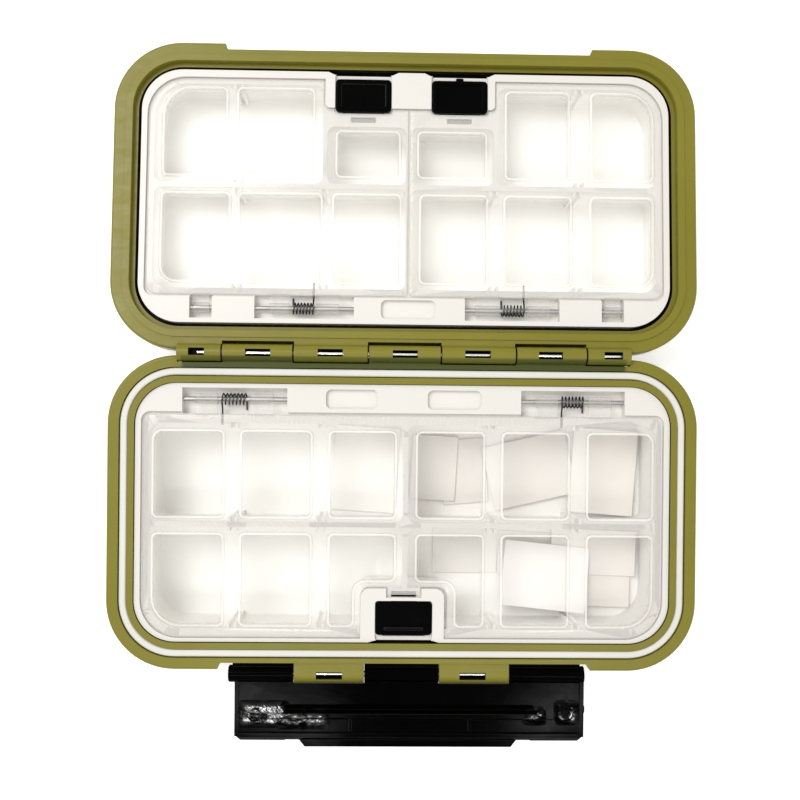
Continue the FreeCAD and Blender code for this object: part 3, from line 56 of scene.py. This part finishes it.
# ------------------------------------------------------------------ case frame
# The lid half has its own frame: same X, hinge side at negative y, outer face
# at z = 0.  It lies past the main hinge, tipped by LID_TIP.
HINGE_Y, HINGE_Z, LID_H = 54.1, 30.0, 23.0
LID_TIP = math.radians(4.2033)
LID = (Matrix.Translation((0, HINGE_Y * MM, HINGE_Z * MM))
       @ Matrix.Rotation(-LID_TIP, 4, "X")
       @ Matrix.Translation((0, HINGE_Y * MM, -LID_H * MM)))
LATCH = Matrix.Translation((0, -55.0 * MM, 26.6 * MM))
BASE_TOP, LID_TOP = 29.2, 21.9


# ------------------------------------------------------------------ materials
def new_mat(name):
    m = bpy.data.materials.new(name)
    m.use_nodes = True
    nt = m.node_tree
    bsdf = next(n for n in nt.nodes if n.type == "BSDF_PRINCIPLED")
    return m, nt, bsdf


def coords(nt, scale=(1, 1, 1)):
    tc = nt.nodes.new("ShaderNodeTexCoord")
    mp = nt.nodes.new("ShaderNodeMapping")
    mp.inputs["Scale"].default_value = scale
    nt.links.new(tc.outputs["Object"], mp.inputs["Vector"])
    return mp.outputs["Vector"]


def noise(nt, vec, scale, detail=3.0, rough=0.55, distortion=0.0):
    n = nt.nodes.new("ShaderNodeTexNoise")
    n.inputs["Scale"].default_value = scale
    n.inputs["Detail"].default_value = detail
    n.inputs["Roughness"].default_value = rough
    n.inputs["Distortion"].default_value = distortion
    nt.links.new(vec, n.inputs["Vector"])
    return n.outputs["Fac"]


def ramp(nt, fac, stops):
    r = nt.nodes.new("ShaderNodeValToRGB")
    while len(r.color_ramp.elements) > len(stops):
        r.color_ramp.elements.remove(r.color_ramp.elements[-1])
    while len(r.color_ramp.elements) < len(stops):
        r.color_ramp.elements.new(0.5)
    for e, (p, c) in zip(r.color_ramp.elements, stops):
        e.position = p
        e.color = (*c, 1.0) if len(c) == 3 else c
    nt.links.new(fac, r.inputs["Fac"])
    return r.outputs["Color"]


def span(nt, fac, lo, hi, a=0.0, b=1.0):
    r = nt.nodes.new("ShaderNodeMapRange")
    r.inputs["From Min"].default_value = a
    r.inputs["From Max"].default_value = b
    r.inputs["To Min"].default_value = lo
    r.inputs["To Max"].default_value = hi
    nt.links.new(fac, r.inputs["Value"])
    return r.outputs["Result"]


def mixed(nt, a, b, mode="MULTIPLY", factor=1.0):
    m = nt.nodes.new("ShaderNodeMix")
    m.data_type = "RGBA"
    m.blend_type = mode
    m.inputs["Factor"].default_value = factor
    nt.links.new(a, m.inputs[6])
    nt.links.new(b, m.inputs[7])
    return m.outputs[2]


def bump(nt, bsdf, heights):
    """heights: list of (fac socket, strength, distance in metres)."""
    last = None
    for fac, strength, dist in heights:
        b = nt.nodes.new("ShaderNodeBump")
        b.inputs["Strength"].default_value = strength
        b.inputs["Distance"].default_value = dist
        nt.links.new(fac, b.inputs["Height"])
        if last is not None:
            nt.links.new(last, b.inputs["Normal"])
        last = b.outputs["Normal"]
    nt.links.new(last, bsdf.inputs["Normal"])


def patch(nt, axes, x0, x1, y0, y1, soft=1.2):
    """1 inside a rectangle of the plan, fading to 0 outside it; mm in the row frame."""
    parts = []
    for axis, lo, hi in ((0, x0, x1), (1, y0, y1)):
        for a, b in ((lo - soft, lo), (hi + soft, hi)):
            r = nt.nodes.new("ShaderNodeMapRange")
            r.interpolation_type = "SMOOTHSTEP"
            r.inputs["From Min"].default_value = a * MM
            r.inputs["From Max"].default_value = b * MM
            nt.links.new(axes[axis], r.inputs["Value"])
            parts.append(r.outputs["Result"])
    return product(nt, parts)


def product(nt, parts, op="MULTIPLY"):
    out = parts[0]
    for p in parts[1:]:
        m = nt.nodes.new("ShaderNodeMath")
        m.operation = op
        nt.links.new(out, m.inputs[0])
        nt.links.new(p, m.inputs[1])
        out = m.outputs["Value"]
    return out


def painted_hinge_shade(nt, v, shade_tint=(0.27, 0.36, 0.20)):
    """Painted shade: darkens the olive where the hinge barrels roll down to the rim, and paints shadow into the joints
    between them.
    """
    sep = nt.nodes.new("ShaderNodeSeparateXYZ")
    nt.links.new(v, sep.inputs["Vector"])
    axes = (sep.outputs["X"], sep.outputs["Y"])
    strip = patch(nt, axes, -74.5, 74.5, 49.3, 52.3, 1.3)
    joints = [patch(nt, axes, x - 0.22, x + 0.22, 51.0, 56.9, 0.16) for x in (-61.6, -37.6, -12.3, 12.3, 37.6, 61.6)]
    roll_shade = ramp(nt, strip, [(0.0, (1.0, 1.0, 1.0)), (1.0, shade_tint)])
    gap_shadow = ramp(nt, product(nt, joints, "MAXIMUM"), [(0.0, (1.0, 1.0, 1.0)), (1.0, (0.04, 0.04, 0.03))])
    return mixed(nt, roll_shade, gap_shadow)


def moulded(name, dark, light, rough=(0.3, 0.45), grain=0.25, coat=0.0, coat_rough=0.1,
            sss=0.0, specular=0.5, waves=0.12, grain_scale=2600.0, up=None, shade=None):
    m, nt, b = new_mat(name)
    v = coords(nt)
    broad = noise(nt, v, 26.0, 4.0, 0.6, 0.4)
    fine = noise(nt, v, grain_scale, 2.0, 0.6)
    smear = noise(nt, coords(nt, (1.0, 3.0, 1.0)), 90.0, 5.0, 0.65, 0.8)
    colour = ramp(nt, broad, [(0.3, dark), (0.72, light)])
    if up is not None:
        # painted shade: the higher flats and rims are darkened, graded by height, so they don't outshine the shaded
        # cells below them
        tilt, low, high, shade_tint = up
        dot = nt.nodes.new("ShaderNodeVectorMath")
        dot.operation = "DOT_PRODUCT"
        nt.links.new(v, dot.inputs[0])
        dot.inputs[1].default_value = (0.0, math.sin(tilt), math.cos(tilt))
        height_shade = ramp(nt, span(nt, dot.outputs["Value"], 0.0, 1.0, low, high), [(0.0, (1.0, 1.0, 1.0)), (1.0, shade_tint)])
        colour = mixed(nt, colour, height_shade)
    if shade is not None:
        colour = mixed(nt, colour, shade(nt, v))
    nt.links.new(colour, b.inputs["Base Color"])
    nt.links.new(span(nt, smear, rough[0], rough[1], 0.3, 0.7), b.inputs["Roughness"])
    b.inputs["Specular IOR Level"].default_value = specular
    b.inputs["Coat Weight"].default_value = coat
    b.inputs["Coat Roughness"].default_value = coat_rough
    if sss:
        b.inputs["Subsurface Weight"].default_value = sss
        b.inputs["Subsurface Radius"].default_value = (0.004, 0.004, 0.0035)
        b.inputs["Subsurface Scale"].default_value = 0.6
    bump(nt, b, [(broad, waves, 0.0006), (fine, grain, 0.00006)])
    return m


# both olives carry the painted hinge shade and joint shadow; on the lid's copy the painted shade is softer
OLIVE = moulded("olive_moulded", (0.168, 0.151, 0.0115), (0.190, 0.170, 0.015),
                rough=(0.28, 0.44), grain=0.35, coat=0.0, specular=0.3, shade=painted_hinge_shade)
OLIVE_LID = moulded("olive_moulded_lid", (0.168, 0.151, 0.0115), (0.190, 0.170, 0.015),
                    rough=(0.28, 0.44), grain=0.35, coat=0.0, specular=0.3,
                    shade=lambda nt, v: painted_hinge_shade(nt, v, (0.50, 0.58, 0.42)))
# near-black olive that is painted shadow, for faces deep in the moat and in the hinge bores
OLIVE_PAINTED_SHADOW = moulded("olive_painted_shadow", (0.005, 0.0045, 0.002), (0.008, 0.007, 0.003),
                     rough=(0.5, 0.6), grain=0.35, specular=0.1)
# painted shade for the tops of both white trays
TRAY_TOP_SHADE = (0.69, 0.679, 0.663)
WHITE = moulded("white_moulded", (0.952, 0.940, 0.905), (0.968, 0.958, 0.926),
                rough=(0.30, 0.42), grain=0.15, specular=0.35,
                up=(0.0, 0.020, 0.0285, TRAY_TOP_SHADE))
WHITE_LID = moulded("white_moulded_lid", (0.952, 0.940, 0.905), (0.968, 0.958, 0.926),
                    rough=(0.30, 0.42), grain=0.15, specular=0.35,
                    up=(LID_TIP, 0.0245, 0.0320, TRAY_TOP_SHADE))
PLATE = moulded("divider_moulded", (0.80, 0.765, 0.725), (0.86, 0.825, 0.785),
                rough=(0.42, 0.55), grain=0.3, specular=0.3)
# painted light: a lighter copy of the same divider plastic, for two of the dividers
PLATE_PAINTED_LIT = moulded("divider_moulded_painted_lit", (0.93, 0.912, 0.88), (0.955, 0.94, 0.91),
                      rough=(0.42, 0.55), grain=0.3, specular=0.3)
SEAL = moulded("silicone_seal", (0.62, 0.615, 0.57), (0.67, 0.665, 0.62),
               rough=(0.45, 0.6), grain=0.2, specular=0.3, grain_scale=1500.0)
BLACK = moulded("black_moulded", (0.0005, 0.0005, 0.0005), (0.0010, 0.0010, 0.0010),
                rough=(0.07, 0.17), grain=0.12, specular=0.03, waves=0.25)


def metal(name, colour, rough, stretch, brushed=0.3):
    m, nt, b = new_mat(name)
    b.inputs["Metallic"].default_value = 1.0
    v = coords(nt, stretch)
    streak = noise(nt, v, 700.0, 5.0, 0.7)
    blot = noise(nt, coords(nt), 150.0, 3.0, 0.6)
    lo = tuple(c * 0.82 for c in colour)
    nt.links.new(ramp(nt, blot, [(0.3, lo), (0.7, colour)]), b.inputs["Base Color"])
    nt.links.new(span(nt, streak, rough * 0.75, rough * 1.4, 0.3, 0.7), b.inputs["Roughness"])
    bump(nt, b, [(streak, brushed, 0.00004)])
    return m


def latch_black():
    m, nt, b = new_mat("black_latch")
    v = coords(nt)
    sep = nt.nodes.new("ShaderNodeSeparateXYZ")
    nt.links.new(v, sep.inputs["Vector"])
    axes = (sep.outputs["X"], sep.outputs["Y"])
    # painted glint spots: specularity raised only where the two glint lamps mirror, standing in for the studio's
    # reflections on the latch
    glint_spots = [patch(nt, axes, -53.0, -40.0, -70.8, -66.4, 2.6), patch(nt, axes, -40.0, -27.0, -71.0, -68.6, 3.0),
             patch(nt, axes, 54.5, 58.6, -69.6, -66.0, 2.6), patch(nt, axes, 44.0, 47.5, -69.8, -68.4, 2.6)]
    spotted = product(nt, glint_spots, "MAXIMUM")
    flecks = span(nt, noise(nt, coords(nt, (0.45, 1.0, 1.0)), 260.0, 4.0, 0.65, 0.8), 0.0, 1.0, 0.44, 0.62)
    shine = product(nt, [spotted, flecks])
    broad = noise(nt, v, 26.0, 4.0, 0.6, 0.4)
    nt.links.new(ramp(nt, broad, [(0.3, (0.0004, 0.0004, 0.0004)), (0.7, (0.0009, 0.0009, 0.0009))]), b.inputs["Base Color"])
    nt.links.new(span(nt, shine, 0.012, 0.75), b.inputs["Specular IOR Level"])
    nt.links.new(span(nt, noise(nt, v, 90.0, 5.0, 0.65, 0.8), 0.07, 0.16, 0.3, 0.7), b.inputs["Roughness"])
    bump(nt, b, [(broad, 0.15, 0.0006), (product(nt, [spotted, noise(nt, v, 260.0, 3.0, 0.6, 0.6)]), 0.55, 0.0004)])
    return m


LATCH_BLACK = latch_black()
GLEAM = moulded("black_edges", (0.0010, 0.0010, 0.0010), (0.0020, 0.0020, 0.0020),
                rough=(0.16, 0.24), grain=0.1, specular=0.5)


def painted_highlight_metal(name, crown, flank, rough, edge=(0.05, 0.22), stretch=(1.0, 1.0, 1.0)):
    """Round metal with a painted reflection: its colour is light along its crown and dark down its flanks, set by the
    angle to the view.
    """
    m, nt, b = new_mat(name)
    b.inputs["Metallic"].default_value = 1.0
    lw = nt.nodes.new("ShaderNodeLayerWeight")
    lw.inputs["Blend"].default_value = 0.4
    shade = ramp(nt, lw.outputs["Facing"], [(edge[0], crown), (edge[1], flank)])
    blot = noise(nt, coords(nt), 150.0, 3.0, 0.6)
    spotted = ramp(nt, blot, [(0.3, (0.86, 0.86, 0.86)), (0.7, (1.0, 1.0, 1.0))])
    nt.links.new(mixed(nt, shade, spotted), b.inputs["Base Color"])
    streak = noise(nt, coords(nt, stretch), 700.0, 5.0, 0.7)
    nt.links.new(span(nt, streak, rough * 0.75, rough * 1.4, 0.3, 0.7), b.inputs["Roughness"])
    bump(nt, b, [(streak, 0.25, 0.00004)])
    return m


# pins and springs carry the painted crown highlight and dark flanks
STEEL = painted_highlight_metal("bright_steel", (0.93, 0.93, 0.93), (0.05, 0.045, 0.045), 0.16, (0.04, 0.15), (0.06, 1.0, 1.0))
COVER_PIN = metal("cover_pin_steel", (0.50, 0.49, 0.47), 0.42, (0.06, 1.0, 1.0))
SPRING = painted_highlight_metal("spring_steel", (0.10, 0.095, 0.09), (0.012, 0.011, 0.011), 0.22, (0.03, 0.30))


def clear_plastic(name, face, rim, tint):
    """Clear moulded plastic: faint haze face on, denser where it turns edge on, with a painted grey there that stands
    in for the dark refraction and reflection along its edges.
    """
    m, nt, b = new_mat(name)
    v = coords(nt)
    lw = nt.nodes.new("ShaderNodeLayerWeight")
    lw.inputs["Blend"].default_value = 0.4
    curve = nt.nodes.new("ShaderNodeMapRange")
    curve.interpolation_type = "SMOOTHSTEP"
    curve.inputs["From Min"].default_value = 0.08
    curve.inputs["From Max"].default_value = 0.55
    curve.inputs["To Min"].default_value = face
    curve.inputs["To Max"].default_value = rim
    nt.links.new(lw.outputs["Facing"], curve.inputs["Value"])
    nt.links.new(curve.outputs["Result"], b.inputs["Alpha"])
    flow = noise(nt, v, 34.0, 3.0, 0.55, 1.2)
    haze = ramp(nt, flow, [(0.3, (0.97, 0.953, 0.918)), (0.7, (0.992, 0.978, 0.945))])
    # painted reflection: grey towards edge-on angles
    edge = ramp(nt, lw.outputs["Facing"], [(0.14, (1.0, 1.0, 1.0)), (0.5, tint)])
    nt.links.new(mixed(nt, haze, edge), b.inputs["Base Color"])
    nt.links.new(span(nt, noise(nt, v, 120.0, 4.0), 0.04, 0.14, 0.3, 0.7), b.inputs["Roughness"])
    bump(nt, b, [(flow, 0.10, 0.0004)])
    return m


CLEAR = clear_plastic("clear_moulded", 0.05, 0.60, (0.72, 0.71, 0.68))
SHEET = clear_plastic("clear_sheet", 0.22, 0.68, (0.80, 0.79, 0.76))
RIDGE = clear_plastic("clear_ridge", 0.50, 0.70, (0.82, 0.81, 0.78))


def wear(obj, mat):
    obj.data.materials.clear()
    obj.data.materials.append(mat)


def finish_for(name):
    if name == "lid_shell":
        return OLIVE_LID
    if name.endswith("_shell"):
        return OLIVE
    if name == "lid_tray":
        return WHITE_LID
    if name.endswith("_tray"):
        return WHITE
    if name in ("divider_01", "divider_11"):
        return PLATE_PAINTED_LIT
    if name.startswith("divider_"):
        return PLATE
    if name == "base_gasket":
        return SEAL
    if "spring" in name:
        return SPRING
    if "cover_pin" in name:
        return COVER_PIN
    if "pin" in name:
        return STEEL
    if "cover" in name:
        return CLEAR
    return BLACK


# ------------------------------------------------------------------ refined pieces
def link(obj):
    bpy.context.scene.collection.objects.link(obj)
    return obj


def body_of_node(name):
    for body, members in frame["record"]["behaviour"]["bodies"].items():
        if name in members:
            return body
    raise KeyError(name)


def refined(node, width, segments=2, angle=28.0, mat=None):
    """The node's own shape with its edges rounded the way moulded parts are."""
    src = nodes[node].data
    bm = bmesh.new()
    bm.from_mesh(src)
    bmesh.ops.remove_doubles(bm, verts=bm.verts, dist=2e-6)
    bmesh.ops.dissolve_limit(bm, angle_limit=math.radians(0.4), verts=bm.verts, edges=bm.edges,
                             use_dissolve_boundaries=False, delimit={"NORMAL"})
    me = bpy.data.meshes.new(node + "_form")
    bm.to_mesh(me)
    bm.free()
    obj = link(bpy.data.objects.new(node + "_form", me))
    for p in me.polygons:
        p.use_smooth = True
    bev = obj.modifiers.new("edge", "BEVEL")
    bev.width = width * MM
    bev.segments = segments
    bev.limit_method = "ANGLE"
    bev.angle_limit = math.radians(angle)
    bev.use_clamp_overlap = True
    bev.harden_normals = False
    bev.miter_outer = "MITER_ARC"
    wn = obj.modifiers.new("normals", "WEIGHTED_NORMAL")
    wn.keep_sharp = False
    wn.weight = 90
    wear(obj, mat or finish_for(node))
    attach(obj, body_of_node(node))
    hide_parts(node)
    return obj


PLAIN = []
for name, obj in nodes.items():
    wear(obj, finish_for(name))

for name in ("base_shell", "lid_shell"):
    shell = refined(name, 0.22)
    shell.data.materials.append(OLIVE_PAINTED_SHADOW)
    back = LID.inverted() if name == "lid_shell" else Matrix.Identity(4)
    # faces below this height in the moat between shell wall and tray take the near-black painted shadow
    deep = (19.2 if name == "lid_shell" else 28.0) * MM
    for p in shell.data.polygons:
        c = back @ p.center
        if c.z < deep and c.z > 1.5 * MM and abs(c.x) < 93.5 * MM and abs(c.y) < 46.6 * MM:
            if p.normal.z > 0.5 or (p.normal.x * c.x < 0) or (p.normal.y * c.y < 0 and abs(p.normal.y) > 0.3):
                p.material_index = 1
        # painted shadow also inside the windows and bores of the hinge knuckles
        q = p.center
        if abs(abs(q.y) - 53.0 * MM) < 0.2 * MM:
            continue
        for ay, az, r, reach_x in ((54.1, 30.0, 2.9, 76.8), (-55.0, 26.6, 2.9, 40.0)):
            if abs(q.x) > reach_x * MM:
                continue
            dy, dz = q.y / MM - ay, q.z / MM - az
            reach = math.hypot(dy, dz)
            if reach < r - 0.12 and abs(p.normal.x) < 0.999 and (p.normal.y * dy + p.normal.z * dz) <= 0.02 * r:
                p.material_index = 1
            elif reach < r - 0.12 and abs(dy) < 1.35 and dz > 0.0:
                p.material_index = 1
for name in ("base_tray", "lid_tray"):
    refined(name, 0.22)


# ------------------------------------------------------------------ clear covers
ARC = 7


def rounded(points, d=0.0):
    """Closed outline from (x, y, corner radius), anticlockwise, moved inwards by d."""
    n = len(points)
    out = []
    for i in range(n):
        p0, p1, p2 = points[i - 1], points[i], points[(i + 1) % n]
        a = Vector((p1[0] - p0[0], p1[1] - p0[1])).normalized()
        b = Vector((p2[0] - p1[0], p2[1] - p1[1])).normalized()
        na, nb = Vector((-a.y, a.x)), Vector((-b.y, b.x))
        turn = a.x * b.y - a.y * b.x
        # corner of the two moved edges
        s = na + nb
        corner = Vector((p1[0], p1[1])) + s * (d / max(s.dot(na), 1e-6))
        r = max(p1[2] - d, 0.12) if turn > 0 else max(p1[2] + d, 0.12)
        half = math.acos(max(-1.0, min(1.0, a.dot(b)))) / 2
        reach = r * math.tan(half)
        start, end = corner - a * reach, corner + b * reach
        side = na if turn > 0 else -na
        mid = start + side * r
        for k in range(ARC + 1):
            f = 2 * half * k / ARC * (1 if turn > 0 else -1)
            v = (start - mid)
            out.append((mid.x + v.x * math.cos(f) - v.y * math.sin(f),
                        mid.y + v.x * math.sin(f) + v.y * math.cos(f)))
    return out


def box_outline(x0, x1, y0, y1, radii):
    """radii in the order front left, front right, rear right, rear left."""
    return [(x0, y0, radii[0]), (x1, y0, radii[1]), (x1, y1, radii[2]), (x0, y1, radii[3])]


class Form:
    """Collects loops and faces in millimetres."""
    def __init__(self):
        self.bm = bmesh.new()

    def loop(self, pts, z):
        return [self.bm.verts.new((x, y, z)) for x, y in pts]

    def bridge(self, a, b, slot=0):
        n = len(a)
        for i in range(n):
            f = self.bm.faces.new((a[i], a[(i + 1) % n], b[(i + 1) % n], b[i]))
            f.material_index = slot
            f.smooth = True

    def fill(self, loops, slot=0):
        edges = []
        for lp in loops:
            for i in range(len(lp)):
                pair = (lp[i], lp[(i + 1) % len(lp)])
                e = self.bm.edges.get(pair) or self.bm.edges.new(pair)
                edges.append(e)
        res = bmesh.ops.triangle_fill(self.bm, use_beauty=True, use_dissolve=False, edges=edges,
                                      normal=(0, 0, 0))
        for g in res["geom"]:
            if isinstance(g, bmesh.types.BMFace):
                g.material_index = slot
                g.smooth = True

    def prism(self, loops, x0, x1, slot=0):
        """Solid between x0 and x1 of a (y, z) section, first loop outside, others holes."""
        ends = []
        for x in (x0, x1):
            made = [[self.bm.verts.new((x, y, z)) for y, z in lp] for lp in loops]
            ends.append(made)
            self.fill(made, slot)
        for a, b in zip(*ends):
            self.bridge(a, b, slot)

    def finish(self, name, place, mats, flip_y=False, smooth_angle=40.0):
        bm = self.bm
        k = -1.0 if flip_y else 1.0
        for v in bm.verts:
            v.co = Vector((v.co.x, v.co.y * k, v.co.z)) * MM
        bmesh.ops.recalc_face_normals(bm, faces=bm.faces)
        me = bpy.data.meshes.new(name)
        bm.to_mesh(me)
        bm.free()
        me.transform(place)
        obj = link(bpy.data.objects.new(name, me))
        for m in mats:
            me.materials.append(m)
        me.set_sharp_from_angle(angle=math.radians(smooth_angle))
        return obj


WINDOW = [(0.0, 0.0), (0.12, 0.30), (0.34, 0.44), (0.95, 0.62), (1.22, 0.93), (1.46, 1.0)]
WINDOW_UNDER = [(0.95, -1.2), (1.05, -0.75), (1.35, -0.42), (2.0, -0.12), (2.3, 0.0)]


def clear_cover(name, top, outline, windows, tabs, hook_x, axis_y, lid):
    """Thin clear lid: sheet with a rolled edge, a raised window over each cell,
    hinge knuckles with their tabs and the hook that the button holds."""
    f = Form()
    seat = top - 1.5
    up = seat + 1.2
    rim = []
    for d, z in ((0.25, seat), (0.0, seat + 0.22), (0.0, up - 0.35), (0.12, up - 0.1), (0.38, up)):
        rim.append(f.loop(rounded(outline, d), z))
    for a, b in zip(rim, rim[1:]):
        f.bridge(a, b, 1)
    tops, unders = [rim[-1]], [rim[0]]
    for w in windows:
        rings = [f.loop(rounded(w, d), up + h) for d, h in WINDOW]
        for k, (a, b) in enumerate(zip(rings, rings[1:])):
            f.bridge(a, b, 2 if k == 2 else 0)
        f.fill([rings[-1]], 0)
        tops.append(rings[0])
        rings = [f.loop(rounded(w, d), up + h) for d, h in WINDOW_UNDER]
        for a, b in zip(rings, rings[1:]):
            f.bridge(a, b, 0)
        f.fill([rings[-1]], 0)
        unders.append(rings[0])
    f.fill(tops, 1)
    f.fill(unders, 1)
    az, kr, bore = top - 2.2, 1.75, 0.81
    rear = max(p[1] for p in outline)
    low = math.asin((seat + 0.05 - az) / kr)
    for x0, x1 in tabs:
        arc = []
        a0, a1 = math.pi - low, 2 * math.pi + math.pi / 2
        for k in range(27):
            a = a0 + (a1 - a0) * k / 26
            arc.append((axis_y + kr * math.cos(a), az + kr * math.sin(a)))
        section = [(rear - 0.3, seat + 0.06)] + arc + [(rear - 0.3, az + kr)]
        hole = [(axis_y + bore * math.cos(a * math.pi / 12), az + bore * math.sin(a * math.pi / 12)) for a in range(24)]
        f.prism([section, hole], x0, x1, 0)
    zb, zt = top - 5.3, top - 4.3
    f.prism([[(-26.8, seat + 0.3), (-27.6, seat + 0.3), (-27.6, zt), (-28.2, zt), (-28.2, zb + 0.3),
              (-27.6, zb), (-26.8, zb)]], hook_x - 3.9, hook_x + 3.9, 0)
    obj = f.finish(name + "_form", LID if lid else Matrix.Identity(4), [CLEAR, SHEET, RIDGE], flip_y=lid)
    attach(obj, body_of_node(name))
    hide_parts(name)
    return obj


R1 = 2.4
COLS = [(-85.4, -60.3), (-55.8, -30.6), (-25.8, -2.0), (3.8, 28.0), (32.9, 57.0), (62.0, 85.6)]
windows = []
for k, (a, b) in enumerate(COLS):
    windows.append(box_outline(a, b, -2.2, 28.4, (R1, R1, 4.0 if k == 5 else R1, 4.0 if k == 0 else R1)))
for k in (0, 1, 4, 5):
    a, b = COLS[k]
    windows.append(box_outline(a, b, -38.9, -6.5, (10.5 if k == 0 else R1, 10.5 if k == 5 else R1, R1, R1)))
# beside the button the window steps round the housing
windows.append([(-25.8, -38.9, R1), (-16.1, -38.9, R1), (-16.1, -23.6, 3.4), (-2.0, -23.6, R1), (-2.0, -6.5, R1), (-25.8, -6.5, R1)])
windows.append([(17.1, -38.9, R1), (28.0, -38.9, R1), (28.0, -6.5, R1), (3.8, -6.5, R1), (3.8, -23.6, R1), (17.1, -23.6, 3.4)])
clear_cover("base_cover", BASE_TOP,
            [(-88.45, -42.15, 12.7), (-14.2, -42.15, 0.3), (-14.2, -25.0, 3.2), (-5.1, -25.0, 0.3), (-5.1, -27.6, 0.4),
             (6.1, -27.6, 0.4), (6.1, -25.0, 0.3), (15.2, -25.0, 3.2), (15.2, -42.15, 0.3), (88.45, -42.15, 12.7),
             (88.45, 33.3, 3.8), (-88.45, 33.3, 3.8)],
            windows, [(-70.6, -63.2), (-52.2, -44.4), (44.8, 52.4), (63.0, 70.6)], 0.5, 38.4, False)
LID_REAR = [(-84.0, -59.5), (-57.8, -28.2), (-25.6, -1.2), (4.2, 28.6), (33.2, 57.4), (62.8, 85.7)]
LID_FRONT = [(-83.8, -61.0), (-58.6, -31.2), (-24.6, -1.6), (3.4, 28.2), (33.6, 56.8), (63.2, 85.8)]
for side, ids in (("left", (0, 1, 2)), ("right", (3, 4, 5))):
    windows = []
    for k in ids:
        a, b = LID_REAR[k]
        windows.append(box_outline(a, b, -1.6, 30.3, (R1, R1, 6.0 if k == 5 else R1, 6.0 if k == 0 else R1)))
        a, b = LID_FRONT[k]
        front = -23.6 if k in (2, 3) else -38.2
        windows.append(box_outline(a, b, front, -6.3, (10.0 if k == 0 else R1, 10.0 if k == 5 else R1, R1, R1)))
    if side == "left":
        outline = [(-88.45, -40.95, 12.7), (-28.5, -40.95, 0.3), (-28.5, -30.8, 1.9), (-24.9, -30.8, 0.2),
                   (-24.9, -29.4, 1.2), (-4.9, -29.4, 1.2), (-4.9, -30.8, 0.2), (0.65, -30.8, 0.3),
                   (0.65, 34.0, 1.2), (-88.45, 34.0, 3.8)]
        clear_cover("lid_cover_left", LID_TOP, outline, windows, [(-72.3, -66.6), (-46.2, -39.3), (-30.2, -22.6)],
                    -14.9, 38.4, True)
    else:
        outline = [(1.15, -30.8, 0.3), (8.3, -30.8, 0.2), (8.3, -29.4, 1.2), (28.3, -29.4, 1.2), (28.3, -30.8, 0.2),
                   (31.0, -30.8, 1.9), (31.0, -40.95, 0.3), (88.45, -40.95, 12.7), (88.45, 34.0, 3.8), (1.15, 34.0, 1.2)]
        clear_cover("lid_cover_right", LID_TOP, outline, windows, [(24.0, 32.4), (41.8, 49.6), (68.3, 73.9)],
                    18.3, 38.4, True)

latch = refined("latch", 0.2, mat=LATCH_BLACK)
latch.data.materials.append(GLEAM)
latch.data.materials.append(BLACK)
for p in latch.data.polygons:
    if p.normal.z < 0.15:
        p.material_index = 2
latch.modifiers["edge"].material = 1
for name in ("base_button", "lid_button_left", "lid_button_right"):
    button = refined(name, 0.2)
    button.data.materials.append(GLEAM)
    button.modifiers["edge"].material = 1
for name in nodes:
    if name.startswith("divider_"):
        refined(name, 0.18)

# button springs are squeezed between the button's stem and the fixed well
for name, mover, fixed, x in (("base_button_spring", "base_button", "base", 0.5),
                              ("lid_button_spring_left", "lid_button_left", "lid", -14.9),
                              ("lid_button_spring_right", "lid_button_right", "lid", 18.3)):
    mesh = nodes[name].data.copy()
    mesh.transform(nodes[name].matrix_world)
    coil = link(bpy.data.objects.new(name + "_coil", mesh))
    wear(coil, SPRING)
    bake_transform(coil)
    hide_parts(name)

# ------------------------------------------------------------------ stage and light
def plane(name, size, z, mat):
    me = bpy.data.meshes.new(name)
    s = size / 2
    me.from_pydata([(-s, -s, z), (s, -s, z), (s, s, z), (-s, s, z)], [], [(0, 1, 2, 3)])
    obj = link(bpy.data.objects.new(name, me))
    obj.data.materials.append(mat)
    return obj


fm, fnt, fb = new_mat("pale_floor")
fb.inputs["Base Color"].default_value = (0.93, 0.93, 0.93, 1)
fb.inputs["Roughness"].default_value = 0.8
fb.inputs["Emission Color"].default_value = (1, 1, 1, 1)
fb.inputs["Emission Strength"].default_value = 0.45
floor = plane("floor", 6.0, -0.00002, fm)

world = bpy.data.worlds.new("studio")
bpy.context.scene.world = world
world.use_nodes = True
world.node_tree.nodes["Background"].inputs["Color"].default_value = (1.0, 0.99, 0.965, 1)
world.node_tree.nodes["Background"].inputs["Strength"].default_value = 0.84


def area(name, place, aim, size, power, size_y=None):
    d = bpy.data.lights.new(name, "AREA")
    d.energy = power
    d.size = size
    if size_y:
        d.shape = "RECTANGLE"
        d.size_y = size_y
    o = link(bpy.data.objects.new(name, d))
    o.location = place
    o.rotation_euler = (Vector(aim) - Vector(place)).to_track_quat("-Z", "Y").to_euler()
    return o


area("key", (-0.55, 0.52, 1.25), (0, 0.05, 0), 0.6, 10.6)
# two small strips whose mirror images fall on the ends of the glossy latch
area("glint_left", (-0.105, -0.286, 0.78), (-0.04, -0.068, 0.027), 0.12, 0.5, 0.035)
area("glint_right", (0.178, -0.284, 0.78), (0.051, -0.068, 0.027), 0.08, 0.35, 0.035)

# ------------------------------------------------------------------ camera
cam = bpy.data.cameras.new("camera")
cam_obj = link(bpy.data.objects.new("camera", cam))
rx, ry, rz = (math.radians(a) for a in (-0.253, -1.35, 0.574))
R = Matrix.Rotation(rz, 4, "Z") @ Matrix.Rotation(ry, 4, "Y") @ Matrix.Rotation(rx, 4, "X")
cam_obj.matrix_world = Matrix.Translation((-10.27 * MM, 40.21 * MM, 402.93 * MM)) @ R
cam.sensor_fit = "HORIZONTAL"
cam.sensor_width = 36.0
cam.lens = 1102.2 / 800.0 * 36.0
cam.clip_start = 0.01
bpy.context.scene.camera = cam_obj
bpy.context.scene.view_settings.view_transform = "Standard"
